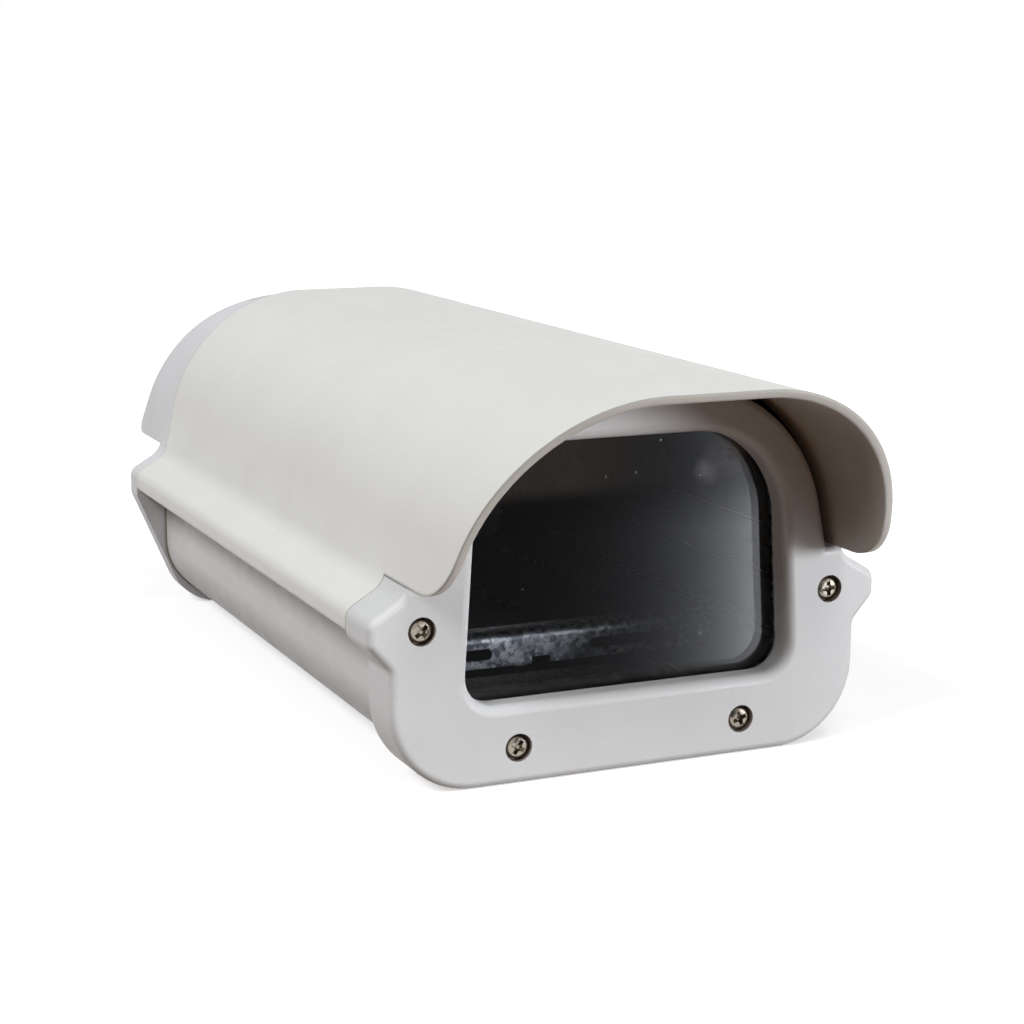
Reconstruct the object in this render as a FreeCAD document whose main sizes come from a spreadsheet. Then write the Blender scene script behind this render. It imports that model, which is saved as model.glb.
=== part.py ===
import FreeCAD, Part
import math
import os

import Sketcher
from FreeCAD import Placement, Rotation, Vector

# Security camera housing. Millimetres, +Z up, window towards -Y, X across.
# The origin is on the ground below the middle of the housing.

# Driving dimensions: alias, value, meaning
SIZES = [
    ("overall_width", 135.0, "across the tips of the two ears"),
    ("overall_height", 97.0, "ground to the flat crown of the upper shell"),
    ("face_back", -99.39, "place of the bezel's front face along Y"),
    # profile of the upper shell, outside
    ("shoulder_reach", 54.7, "edge of the flat crown to the ear's tip, across"),
    ("crown_radius", 43.6, "shoulder between crown and side"),
    ("side_lean", 11.5, "lean of the side wall, degrees"),
    ("flare_top", 50.6, "height where the side starts to flare out"),
    ("flare_radius", 6.0, "hollow of the flare"),
    ("flare_slope", 31.0, "slope of the flare's flat, degrees"),
    ("ear_radius", 3.5, "round of the flare's tip"),
    ("lip_bottom", 37.2, "height of the lip's lower edge"),
    ("lip_round", 1.2, "round of the lip's lower edge"),
    ("shell_wall", 2.0, "wall of both extrusions"),
    # hood
    ("hood_reach", 39.5, "bezel face to the hood's tip"),
    ("hood_slant", 23.9, "slant of the hood's cut from upright, degrees"),
    ("hood_bottom", 50.2, "height of the hood's lower edge"),
    ("hood_corner", 18.0, "round of the hood's lower corner"),
    # covers
    ("ear_overhang", 5.5, "ears beyond the flanks of the covers"),
    ("cover_corner", 21.0, "lower corner of the bezel"),
    ("ear_bottom", 36.8, "height of the bezel ear's lower corner"),
    ("bezel_ear_foot", 30.5, "where the bezel's ear runs into its flank"),
    ("cap_corner", 16.0, "lower corner of the rear cap"),
    ("cap_ear_bottom", 35.4, "height of the cap ear's lower corner"),
    ("cap_lean", 23.2, "lean of the rear cap's side below its ears, degrees"),
    ("ear_blend", 3.0, "rounds of the ear's lower side"),
    ("bezel_depth", 14.5, "depth of the front bezel"),
    ("bezel_arch_inset", 4.4, "bezel's arch inside the shell's outer face"),
    ("bezel_edge", 2.0, "round of the bezel's front edge"),
    ("bezel_front_wall", 6.4, "bezel in front of the window seal"),
    ("cap_flange", 8.6, "depth of the rear cap's flange"),
    ("cap_wall", 3.0, "rear wall of the cap"),
    ("cap_edge", 1.6, "round of the rear cap's edge"),
    ("collar_inset", 1.0, "cap's collar inside the shell's outer face"),
    ("collar_wall", 2.5, "wall of the cap's collar"),
    ("collar_reach", 36.6, "cap's front face to the collar's lower corner"),
    ("collar_bottom", 49.6, "height of the collar's lower edge"),
    ("collar_round", 25.4, "round between collar top and its slanted edge"),
    ("collar_corner", 3.0, "round of the collar's lower corners"),
    # window
    ("window_drop", 15.9, "crown down to the window opening's top edge"),
    ("window_sill", 19.4, "lower edge of the window opening"),
    ("window_spread", 4.0, "opening's flat top beyond the flat crown, each side"),
    ("window_radius", 24.2, "upper corners of the opening"),
    ("window_lean", 3.5, "lean of the opening's sides, degrees"),
    ("window_corner", 7.5, "lower corners of the opening"),
    ("window_edge", 2.6, "round of the opening's front edge"),
    ("glass_overlap", 4.2, "glass hidden behind the bezel"),
    ("glass_thickness", 3.0, "window glass"),
    ("window_seal", 1.0, "rubber between bezel and glass"),
    ("seal_lip", 0.5, "seal's inner edge outside the opening"),
    ("retainer_wall", 1.5, "sheet of the window retainer"),
    ("retainer_lip", 1.5, "retainer's inner edge outside the opening"),
    ("lug_radius", 3.3, "round end of the retainer's lugs"),
    ("lug_root", 4.0, "lug's root behind its screw"),
    ("lug_drop", 9.0, "side lugs below the window's shoulder"),
    ("lug_beside", 3.4, "side lugs' screws outside the glass"),
    ("lug_below", 4.2, "lower lugs' screws below the glass"),
    ("lug_across", 12.0, "lower lugs from the middle"),
    ("fit_gap", 0.3, "clearance between pieces that slip together"),
    # lower shell
    ("shell_length", 185.8, "length of the lower shell"),
    ("shell_inset", 3.1, "lower shell inside the covers"),
    ("tongue_top", 49.5, "height of the tongue inside the upper shell"),
    ("tongue_wall", 1.7, "thickness of that tongue"),
    ("tongue_root", 3.0, "foot of the tongue below its ledge"),
    ("tongue_slope", 2.0, "slope that joins tongue and side wall"),
    ("ledge_wall", 1.5, "ledge that hooks over the upper shell's foot"),
    ("foot_reach", 3.2, "foot of the lip towards the lower shell"),
    ("gasket_wall", 1.5, "end gaskets"),
    ("gasket_width", 4.5, "width of the end gaskets"),
    ("gasket_proud", 0.3, "gasket beyond the lower shell"),
    # screws
    ("ear_screw_inset", 13.2, "ear screws in from the ears' tips"),
    ("ear_screw_height", 39.5, "ear screws above ground"),
    ("low_screw_across", 29.9, "lower screws from the middle"),
    ("low_screw_height", 8.9, "lower screws above ground"),
    ("screw_radius", 1.5, "shank of the cover screws"),
    ("screw_head", 2.95, "radius of the pan heads"),
    ("screw_head_height", 2.2, "height of the pan heads"),
    ("head_pocket", 3.45, "radius of the pockets round the heads"),
    ("head_pocket_depth", 2.6, "depth of those pockets"),
    ("screw_bite", 9.0, "cover screws inside the shell's ports"),
    ("screw_tip", 0.4, "chamfer of the screws' tips"),
    ("cross_half", 0.45, "half width of the cross recess"),
    ("small_screw_radius", 1.25, "shank of the retainer screws"),
    ("small_screw_head", 2.3, "radius of their heads"),
    ("small_screw_head_height", 1.6, "height of their heads"),
    ("small_screw_length", 5.0, "retainer screws below the head"),
    ("small_screw_bore", 4.2, "depth of their holes in the bezel"),
    ("port_radius", 3.9, "outside of the extruded screw ports"),
    ("port_slit", 1.4, "slit along each port"),
    ("shank_gap", 0.05, "shank to port"),
    ("hole_gap", 0.2, "shank to cover hole"),
    # tray
    ("tray_start", 53.5, "bezel face to the tray's front flange"),
    ("tray_length", 112.0, "camera tray, front to rear"),
    ("tray_wall", 1.5, "sheet of the tray"),
    ("tray_bend", 2.2, "outside of the tray's bends"),
    ("bend_relief", 1.0, "corner notch beyond each bend"),
    ("tray_top", 22.2, "height of the tray's deck"),
    ("tray_foot", 13.3, "height of the flanges' lower edge"),
    ("flange_inset", 6.9, "tray's flanges in from the lower shell's walls"),
    ("rail_reach", 3.4, "tray rails in from the side wall"),
    ("rail_wall", 1.5, "thickness of the tray rails"),
    ("flange_slot_start", 14.0, "flange slots from the middle, inner end"),
    ("flange_slot_end", 41.0, "flange slots from the middle, outer end"),
    ("flange_slot_low", 15.5, "lower edge of the flange slots"),
    ("flange_slot_width", 3.0, "width of the flange slots"),
    ("notch_half", 2.6, "half width of the flange's middle notch"),
    ("notch_depth", 1.8, "depth of that notch"),
    ("camera_slot_half", 3.4, "half width of the deck's slots"),
    ("camera_slot_length", 74.0, "length of the deck's slots"),
    ("side_slot_across", 30.0, "deck's side slots from the middle"),
    # camera fixings
    ("pad_inset", 6.9, "insulating pad in from the lower shell's walls"),
    ("pad_margin", 4.0, "pad in from the tray's ends"),
    ("pad_wall", 1.0, "thickness of the insulating pad"),
    ("camera_screw_radius", 3.15, "camera screw's thread"),
    ("camera_screw_rise", 6.0, "thread above the pad"),
    ("camera_screw_tip", 0.8, "chamfer of the thread's tip"),
    ("camera_head_radius", 8.0, "camera screw's knurled head"),
    ("camera_head_height", 5.0, "height of that head"),
    ("camera_head_edge", 0.6, "chamfers of that head"),
    ("camera_washer_radius", 7.0, "washer below the deck"),
    ("camera_washer_wall", 0.8, "thickness of that washer"),
    # bracket plate
    ("plate_half", 24.0, "half width of the bracket plate"),
    ("plate_length", 100.0, "length of the bracket plate"),
    ("plate_wall", 4.0, "thickness of the bracket plate"),
    ("plate_start", 60.0, "bezel face to the bracket plate"),
    ("tapped_radius", 2.5, "tapped holes of the bracket plate"),
    ("bolt_clearance", 3.3, "holes in the shell's floor below them"),
    ("bolt_across", 30.0, "tapped holes, spacing across"),
    ("bolt_along", 60.0, "tapped holes, spacing along"),
    ("rivet_radius", 1.6, "shank of the plate's rivets"),
    ("rivet_head", 3.2, "radius of the rivet heads"),
    ("rivet_head_height", 1.1, "height of the rivet heads"),
    ("rivet_end", 2.7, "radius of the rivets' upset ends"),
    ("rivet_end_height", 1.6, "height of the upset ends"),
    ("rivet_inset", 8.0, "rivets from the ends of the plate"),
    # cable glands
    ("gland_inset", 35.5, "outer cable glands in from the ears' tips"),
    ("gland_height", 29.0, "cable glands above ground"),
    ("gland_thread", 7.6, "radius of the gland's thread"),
    ("gland_bore", 4.6, "bore of the gland's body"),
    ("gland_cable", 3.6, "bore of the gland's seal"),
    ("gland_flats", 19.0, "across the flats of body and nut"),
    ("gland_collar", 5.0, "hexagon of the gland's body"),
    ("gland_nut_length", 14.0, "gland's compression nut"),
    ("gland_nut_hex", 7.0, "hexagon of that nut"),
    ("gland_nut_bore", 7.0, "inside of that nut"),
    ("gland_nut_lip", 1.5, "wall of the nut's outer end"),
    ("gland_shoulder", 9.1, "radius where the nut's dome starts"),
    ("gland_dome", 6.6, "radius of the nut's outer end"),
    ("gland_crown", 12.0, "round of the nut's dome"),
    ("gland_tail", 1.5, "gland's thread beyond the locknut"),
    ("gland_washer", 1.2, "flat washer behind the panel"),
    ("locknut_flats", 22.0, "across the flats of the locknut"),
    ("locknut_wall", 4.5, "thickness of the locknut"),
]


class Size:
    """A size that knows its number and the expression that drives it."""

    def __init__(self, value, text):
        self.value = value
        self.text = text

    def __add__(self, other):
        return combine(self, "+", other, self.value + number(other))

    def __radd__(self, other):
        return combine(other, "+", self, number(other) + self.value)

    def __sub__(self, other):
        return combine(self, "-", other, self.value - number(other))

    def __rsub__(self, other):
        return combine(other, "-", self, number(other) - self.value)

    def __mul__(self, other):
        return combine(self, "*", other, self.value * number(other))

    def __rmul__(self, other):
        return combine(other, "*", self, number(other) * self.value)

    def __truediv__(self, other):
        return combine(self, "/", other, self.value / number(other))

    def __neg__(self):
        return Size(-self.value, "(0 - %s)" % self.text)


def number(entry):
    return entry.value if isinstance(entry, Size) else float(entry)


def text(entry):
    return entry.text if isinstance(entry, Size) else "%.6f" % entry


def combine(left, sign, right, value):
    return Size(value, "(%s %s %s)" % (text(left), sign, text(right)))


def sine(angle):
    return Size(math.sin(math.radians(angle.value)), "sin(%s)" % angle.text)


def cosine(angle):
    return Size(math.cos(math.radians(angle.value)), "cos(%s)" % angle.text)


def tangent(angle):
    return Size(math.tan(math.radians(angle.value)), "tan(%s)" % angle.text)


def root(entry):
    return Size(math.sqrt(entry.value), "sqrt(%s)" % entry.text)


def make_sheet(document):
    """Spreadsheet of the driving dimensions, and the same sizes by name."""
    sheet = document.addObject("Spreadsheet::Sheet", "sizes")
    sizes = {}
    for row, (alias, value, meaning) in enumerate(SIZES, start=1):
        sheet.set("A%d" % row, str(value))
        sheet.setAlias("A%d" % row, alias)
        sheet.set("B%d" % row, meaning)
        sizes[alias] = Size(value, "sizes." + alias)
    document.recompute()
    return sizes


doc = FreeCAD.newDocument("camera_housing")
S = make_sheet(doc)

LEFT = 1
RIGHT = -1
SIDES = (-1, 1)
# how far a cutting outline reaches past the material
BEYOND = 5.0

# Stations along Y, counted from the bezel's front face
lower_start = S["bezel_depth"] + S["gasket_wall"]
lower_end = lower_start + S["shell_length"]
cap_start = lower_end + S["gasket_wall"]
glass_start = S["bezel_front_wall"] + S["window_seal"]
retainer_start = glass_start + S["glass_thickness"]

# Half widths and heights that several pieces share
ear_tip = S["overall_width"] / 2
crown_flat = ear_tip - S["shoulder_reach"]
flank = ear_tip - S["ear_overhang"]
wall_outside = flank - S["shell_inset"]
wall_inside = wall_outside - S["shell_wall"]
ear_screw_across = ear_tip - S["ear_screw_inset"]
gland_spacing = ear_tip - S["gland_inset"]
window_flat = crown_flat + S["window_spread"]
window_top = S["overall_height"] - S["window_drop"]
floor_bottom = S["shell_inset"]
floor_top = floor_bottom + S["shell_wall"]
deck_bottom = S["tray_top"] - S["tray_wall"]


# Sketching helpers

def new_body(label, back=0.0, across=0.0, up=0.0, turned=False):
    """Body with its own placement, measured from the middle, the bezel's face and the ground."""
    body = doc.addObject("PartDesign::Body", label)
    body.Label = label
    if turned:
        body.Placement = Placement(Vector(), Rotation(Vector(0, 0, 1), 180))
    body.setExpression("Placement.Base.x", text(across))
    body.setExpression("Placement.Base.y", text(S["face_back"] + back))
    body.setExpression("Placement.Base.z", text(up))
    return body


def new_sketch(body, plane, name, offset=0.0):
    """Sketch on one of the body's own planes, moved along the plane's normal by offset."""
    sketch = body.newObject("Sketcher::SketchObject", body.Label + "_" + name)
    planes = {feature.Role: feature for feature in body.Origin.OriginFeatures}
    sketch.AttachmentSupport = [(planes[plane], "")]
    sketch.MapMode = "FlatFace"
    sketch.setExpression("AttachmentOffset.Base.z", text(offset))
    return sketch


def bind(sketch, constraint, size):
    sketch.setExpression("Constraints[%d]" % sketch.addConstraint(constraint), text(size))


def place_point(sketch, geometry, position, across, up):
    """Point of a sketch, fixed from the sketch's own origin."""
    bind(sketch, Sketcher.Constraint("DistanceX", -1, 1, geometry, position, number(across)), across)
    bind(sketch, Sketcher.Constraint("DistanceY", -1, 1, geometry, position, number(up)), up)


def arc_between(start, end, radius, turn):
    """The shorter arc from start to end that turns left or right."""
    chord = end - start
    middle = (start + end) * 0.5
    rise = math.sqrt(max(radius * radius - chord.Length * chord.Length / 4, 0.0))
    centre = middle + Vector(-chord.y, chord.x, 0).normalize() * (rise * turn)
    first, last = (start, end) if turn == LEFT else (end, start)
    from_angle = math.atan2(first.y - centre.y, first.x - centre.x)
    to_angle = math.atan2(last.y - centre.y, last.x - centre.x)
    return Part.ArcOfCircle(Part.Circle(centre, Vector(0, 0, 1), radius), from_angle, to_angle)


def draw_outline(sketch, points):
    """Closed outline. A point is (x, y), or (x, y, radius, turn) where an arc leads to it."""
    places = [Vector(number(point[0]), number(point[1]), 0) for point in points]
    ends = []
    for index, point in enumerate(points):
        start, end = places[index - 1], places[index]
        if len(point) == 2:
            ends.append((sketch.addGeometry(Part.LineSegment(start, end)), 1, 2))
            continue
        radius, turn = point[2], point[3]
        arc = sketch.addGeometry(arc_between(start, end, number(radius), turn))
        bind(sketch, Sketcher.Constraint("Radius", arc, number(radius)), radius)
        ends.append((arc, 1, 2) if turn == LEFT else (arc, 2, 1))
    for index, (geometry, _, last) in enumerate(ends):
        following, first, _ = ends[(index + 1) % len(ends)]
        sketch.addConstraint(Sketcher.Constraint("Coincident", geometry, last, following, first))
        place_point(sketch, geometry, last, points[index][0], points[index][1])


def draw_circle(sketch, across, up, radius):
    centre = Vector(number(across), number(up), 0)
    circle = sketch.addGeometry(Part.Circle(centre, Vector(0, 0, 1), number(radius)))
    bind(sketch, Sketcher.Constraint("Radius", circle, number(radius)), radius)
    place_point(sketch, circle, 3, across, up)


def draw_box(sketch, left, low, right, high):
    draw_outline(sketch, [(left, low), (right, low), (right, high), (left, high)])


def draw_slot(sketch, across, low, high, half):
    """Upright slot with round ends."""
    draw_outline(sketch, [
        (across - half, low + half), (across, low, half, LEFT), (across + half, low + half, half, LEFT),
        (across + half, high - half), (across, high, half, LEFT), (across - half, high - half, half, LEFT),
    ])


def draw_level_slot(sketch, left, right, low, half):
    """Level slot with round ends."""
    middle, high = low + half, low + half * 2
    draw_outline(sketch, [
        (right - half, low), (right, middle, half, LEFT), (right - half, high, half, LEFT),
        (left + half, high), (left, middle, half, LEFT), (left + half, low, half, LEFT),
    ])


def draw_hexagon(sketch, flats):
    corner = flats / math.sqrt(3.0)
    angles = [math.radians(60 * step) for step in range(6)]
    draw_outline(sketch, [(corner * math.cos(angle), corner * math.sin(angle)) for angle in angles])


def mirrored(half):
    """Whole outline from its right half, given clockwise from the top to the bottom."""
    whole = list(half)
    for index in range(len(half) - 1, -1, -1):
        across, up = -half[index][0], half[index][1]
        arc = half[index + 1][2:] if index + 1 < len(half) else ()
        whole.append((across, up) + tuple(arc))
    return whole


def other_side(points):
    """A right-hand outline, mirrored to the left-hand side."""
    return [(-point[0], point[1]) + ((point[2], -point[3]) if len(point) == 4 else ())
            for point in points]


def solid_volume(body):
    return body.Shape.Volume if body.Tip else 0.0


def add_feature(body, kind, sketch, name, settings, sizes, grows):
    """Feature that must add material, or take some away, as grows says."""
    before = solid_volume(body)
    feature = body.newObject("PartDesign::" + kind, body.Label + "_" + name)
    feature.Profile = sketch
    for key, value in settings.items():
        setattr(feature, key, value)
    for key, size in sizes.items():
        feature.setExpression(key, text(size))
    doc.recompute()
    changed = body.Shape.Volume - before
    if (changed > 1e-6) != grows or abs(changed) < 1e-6:
        raise ValueError("%s of %s did not change the solid as it should" % (name, body.Label))
    return feature


def pad_back(body, sketch, length, name="pad"):
    """Pad of an upright cross sketch, from its plane towards the rear."""
    return add_feature(body, "Pad", sketch, name, {"Reversed": True}, {"Length": length}, True)


def cut_back(body, sketch, length, name="cut"):
    """Pocket of an upright cross sketch, from its plane towards the rear."""
    return add_feature(body, "Pocket", sketch, name, {}, {"Length": length}, False)


def cut_through(body, sketch, name="through"):
    settings = {"Type": "ThroughAll", "SideType": "Symmetric"}
    return add_feature(body, "Pocket", sketch, name, settings, {}, False)


def revolve(body, sketch, name="turned"):
    settings = {"ReferenceAxis": (sketch, ["V_Axis"]), "Angle": 360.0}
    return add_feature(body, "Revolution", sketch, name, settings, {}, True)


def round_edges(body, name, radius, wanted):
    """Fillet on the edges of the finished shape that the test picks."""
    base = body.Tip
    names = ["Edge%d" % (index + 1) for index, edge in enumerate(base.Shape.Edges) if wanted(edge)]
    if not names:
        raise ValueError("%s of %s finds no edges" % (name, body.Label))
    fillet = body.newObject("PartDesign::Fillet", body.Label + "_" + name)
    fillet.Base = (base, names)
    fillet.setExpression("Radius", text(radius))
    doc.recompute()


def near(first, second, slack=0.01):
    return abs(first - second) < slack


def in_cross_plane(edge, back):
    box = edge.BoundBox
    return near(box.YMin, back) and near(box.YMax, back)


def runs_back_at(edge, across, up):
    """Whether an edge runs along Y at this place, on either side."""
    box = edge.BoundBox
    if box.YLength < 1.0 or box.XLength > 0.01 or box.ZLength > 0.01:
        return False
    return near(abs(box.XMin), across, 0.05) and near(box.ZMin, up, 0.05)


# Profile of the housing

def shoulder_end(inset):
    """Where the shoulder's round meets the leaning side, this far inside the outer face."""
    radius = S["crown_radius"] - inset
    return (crown_flat + radius * cosine(S["side_lean"]),
            S["overall_height"] - S["crown_radius"] + radius * sine(S["side_lean"]))


def side_at(inset, height):
    """Half width of the leaning side at this height."""
    above = height - (S["overall_height"] - S["crown_radius"])
    reach = S["crown_radius"] - inset - above * sine(S["side_lean"])
    return crown_flat + reach / cosine(S["side_lean"])


def flare_centre():
    """Centre of the hollow where the side turns out into the flare."""
    lean = S["side_lean"]
    return (side_at(0.0, S["flare_top"]) + S["flare_radius"] * cosine(lean),
            S["flare_top"] + S["flare_radius"] * sine(lean))


def flare_start(inset):
    lean, radius = S["side_lean"], S["flare_radius"] + inset
    centre = flare_centre()
    return (centre[0] - radius * cosine(lean), centre[1] - radius * sine(lean))


def flare_end(inset):
    slope, radius = S["flare_slope"], S["flare_radius"] + inset
    centre = flare_centre()
    return (centre[0] - radius * sine(slope), centre[1] - radius * cosine(slope))


def tip_centre():
    """Centre of the round at the ear's tip, which rolls on the flare's flat."""
    slope, radius = S["flare_slope"], S["ear_radius"]
    start = flare_end(0.0)
    across = ear_tip - radius
    drop = (radius + (across - start[0]) * sine(slope)) / cosine(slope)
    return (across, start[1] - drop)


def tip_start(inset):
    slope, radius = S["flare_slope"], S["ear_radius"] - inset
    centre = tip_centre()
    return (centre[0] + radius * sine(slope), centre[1] + radius * cosine(slope))


def arch_side(inset):
    """Crown and shoulder, right half, down to where the side starts."""
    corner = shoulder_end(inset)
    return [(crown_flat, S["overall_height"] - inset),
            (corner[0], corner[1], S["crown_radius"] - inset, RIGHT)]


def flare_side(inset):
    """From the end of the flare's hollow to the upright below the ear's tip."""
    end, tip, centre = flare_end(inset), tip_start(inset), tip_centre()
    return [(end[0], end[1], S["flare_radius"] + inset, LEFT), tip,
            (ear_tip - inset, centre[1], S["ear_radius"] - inset, RIGHT)]


def reversed_run(points):
    """The same open run of points, walked the other way."""
    run = []
    for index in range(len(points) - 1, -1, -1):
        arc = ()
        if index + 1 < len(points) and len(points[index + 1]) == 4:
            arc = (points[index + 1][2], -points[index + 1][3])
        run.append((points[index][0], points[index][1]) + arc)
    return run


def cover_outline(arch_inset, ledge, lower_side):
    """Outline of bezel or rear cap: arch, ledge, ears and the given lower half."""
    centre = flare_centre()
    radius = S["flare_radius"]
    drop = centre[1] - ledge
    on_hollow = centre[0] - root(radius * radius - drop * drop)
    return mirrored(arch_side(arch_inset) + [
        (side_at(arch_inset, ledge), ledge),
        (on_hollow, ledge),
    ] + flare_side(0.0) + lower_side)


def bezel_side():
    """Right-hand side of the bezel below its ear: a flank and a rounded corner."""
    corner = S["cover_corner"]
    return [
        (ear_tip, S["ear_bottom"]),
        (flank, S["bezel_ear_foot"]),
        (flank, corner),
        (flank - corner, 0.0, corner, RIGHT),
    ]


def cap_side():
    """Right-hand side of the rear cap below its ear: it leans straight into the corner."""
    corner, lean, low = S["cap_corner"], S["cap_lean"], S["cap_ear_bottom"]
    centre = ear_tip - (low - corner) * tangent(lean) - corner / cosine(lean)
    return [
        (ear_tip, low),
        (centre + corner * cosine(lean), corner - corner * sine(lean)),
        (centre, 0.0, corner, RIGHT),
    ]


def window_side(inset, height):
    """Half width of the opening's leaning side at this height."""
    above = height - (window_top - S["window_radius"])
    reach = S["window_radius"] - inset - above * sine(S["window_lean"])
    return window_flat + reach / cosine(S["window_lean"])


def window_outline(grow):
    """The window opening, grown outwards by this much."""
    lean = S["window_lean"]
    upper = S["window_radius"] + grow
    lower = S["window_corner"] + grow
    pivot_height = S["window_sill"] + S["window_corner"]
    pivot = window_side(S["window_corner"], pivot_height)
    return mirrored([
        (window_flat, window_top + grow),
        (window_flat + upper * cosine(lean),
         window_top - S["window_radius"] + upper * sine(lean), upper, RIGHT),
        (pivot + lower * cosine(lean), pivot_height + lower * sine(lean)),
        (pivot, S["window_sill"] - grow, lower, RIGHT),
    ])


def cover_screw_places():
    """The four cover screws: two in the ears, two below the window."""
    for side in SIDES:
        yield side * ear_screw_across, S["ear_screw_height"]
    for side in SIDES:
        yield side * S["low_screw_across"], S["low_screw_height"]


def cut_holes(body, places, radius, start, depth, name):
    sketch = new_sketch(body, "XZ_Plane", name + "_sketch", -start)
    for across, up in places:
        draw_circle(sketch, across, up, radius)
    cut_back(body, sketch, depth, name)


# Upper shell: one extrusion, cut at a slant to make the hood

def upper_shell():
    body = new_body("upper_shell", -S["hood_reach"])
    wall, lip, lip_round = S["shell_wall"], S["lip_bottom"], S["lip_round"]
    foot_top = lip + S["ledge_wall"]
    foot_end = ear_tip - wall - S["foot_reach"]
    edge = [(ear_tip, lip + lip_round), (ear_tip - lip_round, lip, lip_round, RIGHT)]
    outside = arch_side(0.0) + [flare_start(0.0)] + flare_side(0.0) + edge
    foot = [(foot_end, lip), (foot_end, foot_top), (ear_tip - wall, foot_top)]
    inside = reversed_run(arch_side(wall) + [flare_start(wall)] + flare_side(wall))
    section = new_sketch(body, "XZ_Plane", "section")
    draw_outline(section, mirrored(outside + foot + inside))
    length = S["hood_reach"] + cap_start
    pad_back(body, section, length)
    trim_hood(body)
    return body


def trim_hood(body):
    """Slanted cut of the hood, and the flare taken off in front of the bezel's ears."""
    slant, bottom = S["hood_slant"], S["hood_bottom"]
    rise = S["overall_height"] - bottom
    slant_foot = rise * tangent(slant)
    corner = S["hood_corner"]
    half_turn = (90.0 - slant) / 2
    run = corner * tangent(half_turn)
    flare_front = S["hood_reach"] + S["bezel_depth"] + S["fit_gap"]
    low = S["lip_bottom"] - BEYOND
    high = S["overall_height"] + BEYOND
    sketch = new_sketch(body, "YZ_Plane", "trim_sketch")
    draw_outline(sketch, [
        (-BEYOND, low),
        (flare_front, low),
        (flare_front, bottom),
        (slant_foot + run, bottom),
        (slant_foot - run * sine(slant), bottom + run * cosine(slant), corner, RIGHT),
        (-BEYOND * tangent(slant), high),
        (-BEYOND, high),
    ])
    cut_through(body, sketch, "trim")


# Lower shell: trough with four screw ports, two tray rails and the hook for the upper shell

def low_port():
    """Lower screw port, right-hand side: round top on a straight root in the floor."""
    across, up, radius = S["low_screw_across"], S["low_screw_height"], S["port_radius"]
    foot = floor_bottom + S["shell_wall"] / 2
    return [
        (across - radius, foot),
        (across + radius, foot),
        (across + radius, up),
        (across, up + radius, radius, LEFT),
        (across - radius, up, radius, LEFT),
    ]


def ear_port():
    """Ear's screw port, right-hand side: round front on a root in the leaning tongue."""
    across, up, radius = ear_screw_across, S["ear_screw_height"], S["port_radius"]
    middle = S["shell_wall"] + S["fit_gap"] + S["tongue_wall"] / 2
    high, low = up + radius, up - radius
    return [
        (side_at(middle, high), high),
        (across, high),
        (across - radius, up, radius, LEFT),
        (across, low, radius, LEFT),
        (side_at(middle, low), low),
    ]


def lower_shell():
    body = new_body("lower_shell", lower_start)
    wall, gap = S["shell_wall"], S["fit_gap"]
    corner = S["cover_corner"] - S["shell_inset"]
    pivot = flank - S["cover_corner"]
    ledge_low = S["lip_bottom"] + S["ledge_wall"] + gap
    ledge_top = ledge_low + S["ledge_wall"]
    ledge_end = ear_tip - wall - gap
    outer, inner = wall + gap, wall + gap + S["tongue_wall"]
    merge = ledge_low - S["tongue_root"]
    section = new_sketch(body, "XZ_Plane", "section")
    draw_outline(section, mirrored([
        (pivot, floor_top),
        (wall_inside, S["cover_corner"], corner - wall, LEFT),
        (wall_inside, merge - S["tongue_slope"]),
        (side_at(inner, merge), merge),
        (side_at(inner, S["tongue_top"]), S["tongue_top"]),
        (side_at(outer, S["tongue_top"]), S["tongue_top"]),
        (side_at(outer, ledge_top), ledge_top),
        (ledge_end, ledge_top),
        (ledge_end, ledge_low),
        (wall_outside, ledge_low),
        (wall_outside, S["cover_corner"]),
        (pivot, floor_bottom, corner, RIGHT),
    ]))
    pad_back(body, section, S["shell_length"])
    add_ports(body)
    add_tray_rails(body)
    cut_floor_holes(body)
    return body


def add_ports(body):
    """Four screw ports along the shell, each open to the inside by a narrow slit."""
    sketch = new_sketch(body, "XZ_Plane", "ports_sketch")
    for outline in (low_port(), ear_port()):
        draw_outline(sketch, outline)
        draw_outline(sketch, other_side(outline))
    pad_back(body, sketch, S["shell_length"], "ports")
    bore = S["screw_radius"] + S["shank_gap"]
    cut_holes(body, cover_screw_places(), bore, 0.0, S["shell_length"], "port_bores")
    low, ear = S["low_screw_across"], ear_screw_across
    low_up, ear_up = S["low_screw_height"], S["ear_screw_height"]
    slit, far = S["port_slit"] / 2, S["port_radius"] + BEYOND
    slits = new_sketch(body, "XZ_Plane", "slits_sketch")
    for side in SIDES:
        draw_box(slits, side * low - slit, low_up, side * low + slit, low_up + far)
        draw_box(slits, side * (ear - far), ear_up - slit, side * ear, ear_up + slit)
    cut_back(body, slits, S["shell_length"], "slits")


def add_tray_rails(body):
    """Two ribs on each side wall, with the groove for the tray's deck between them."""
    sketch = new_sketch(body, "XZ_Plane", "rails_sketch")
    reach, root_depth = S["rail_reach"], S["shell_wall"] / 2
    groove_top = S["tray_top"] + S["fit_gap"]
    for side in SIDES:
        inner, outer = side * (wall_inside - reach), side * (wall_inside + root_depth)
        draw_box(sketch, inner, deck_bottom - S["rail_wall"], outer, deck_bottom)
        draw_box(sketch, inner, groove_top, outer, groove_top + S["rail_wall"])
    pad_back(body, sketch, S["shell_length"], "rails")


def bolt_places():
    middle = S["plate_start"] + S["plate_length"] / 2
    for side in SIDES:
        for end in SIDES:
            yield side * S["bolt_across"] / 2, middle + end * S["bolt_along"] / 2


def rivet_places():
    yield 0.0, S["plate_start"] + S["rivet_inset"]
    yield 0.0, S["plate_start"] + S["plate_length"] - S["rivet_inset"]


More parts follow.
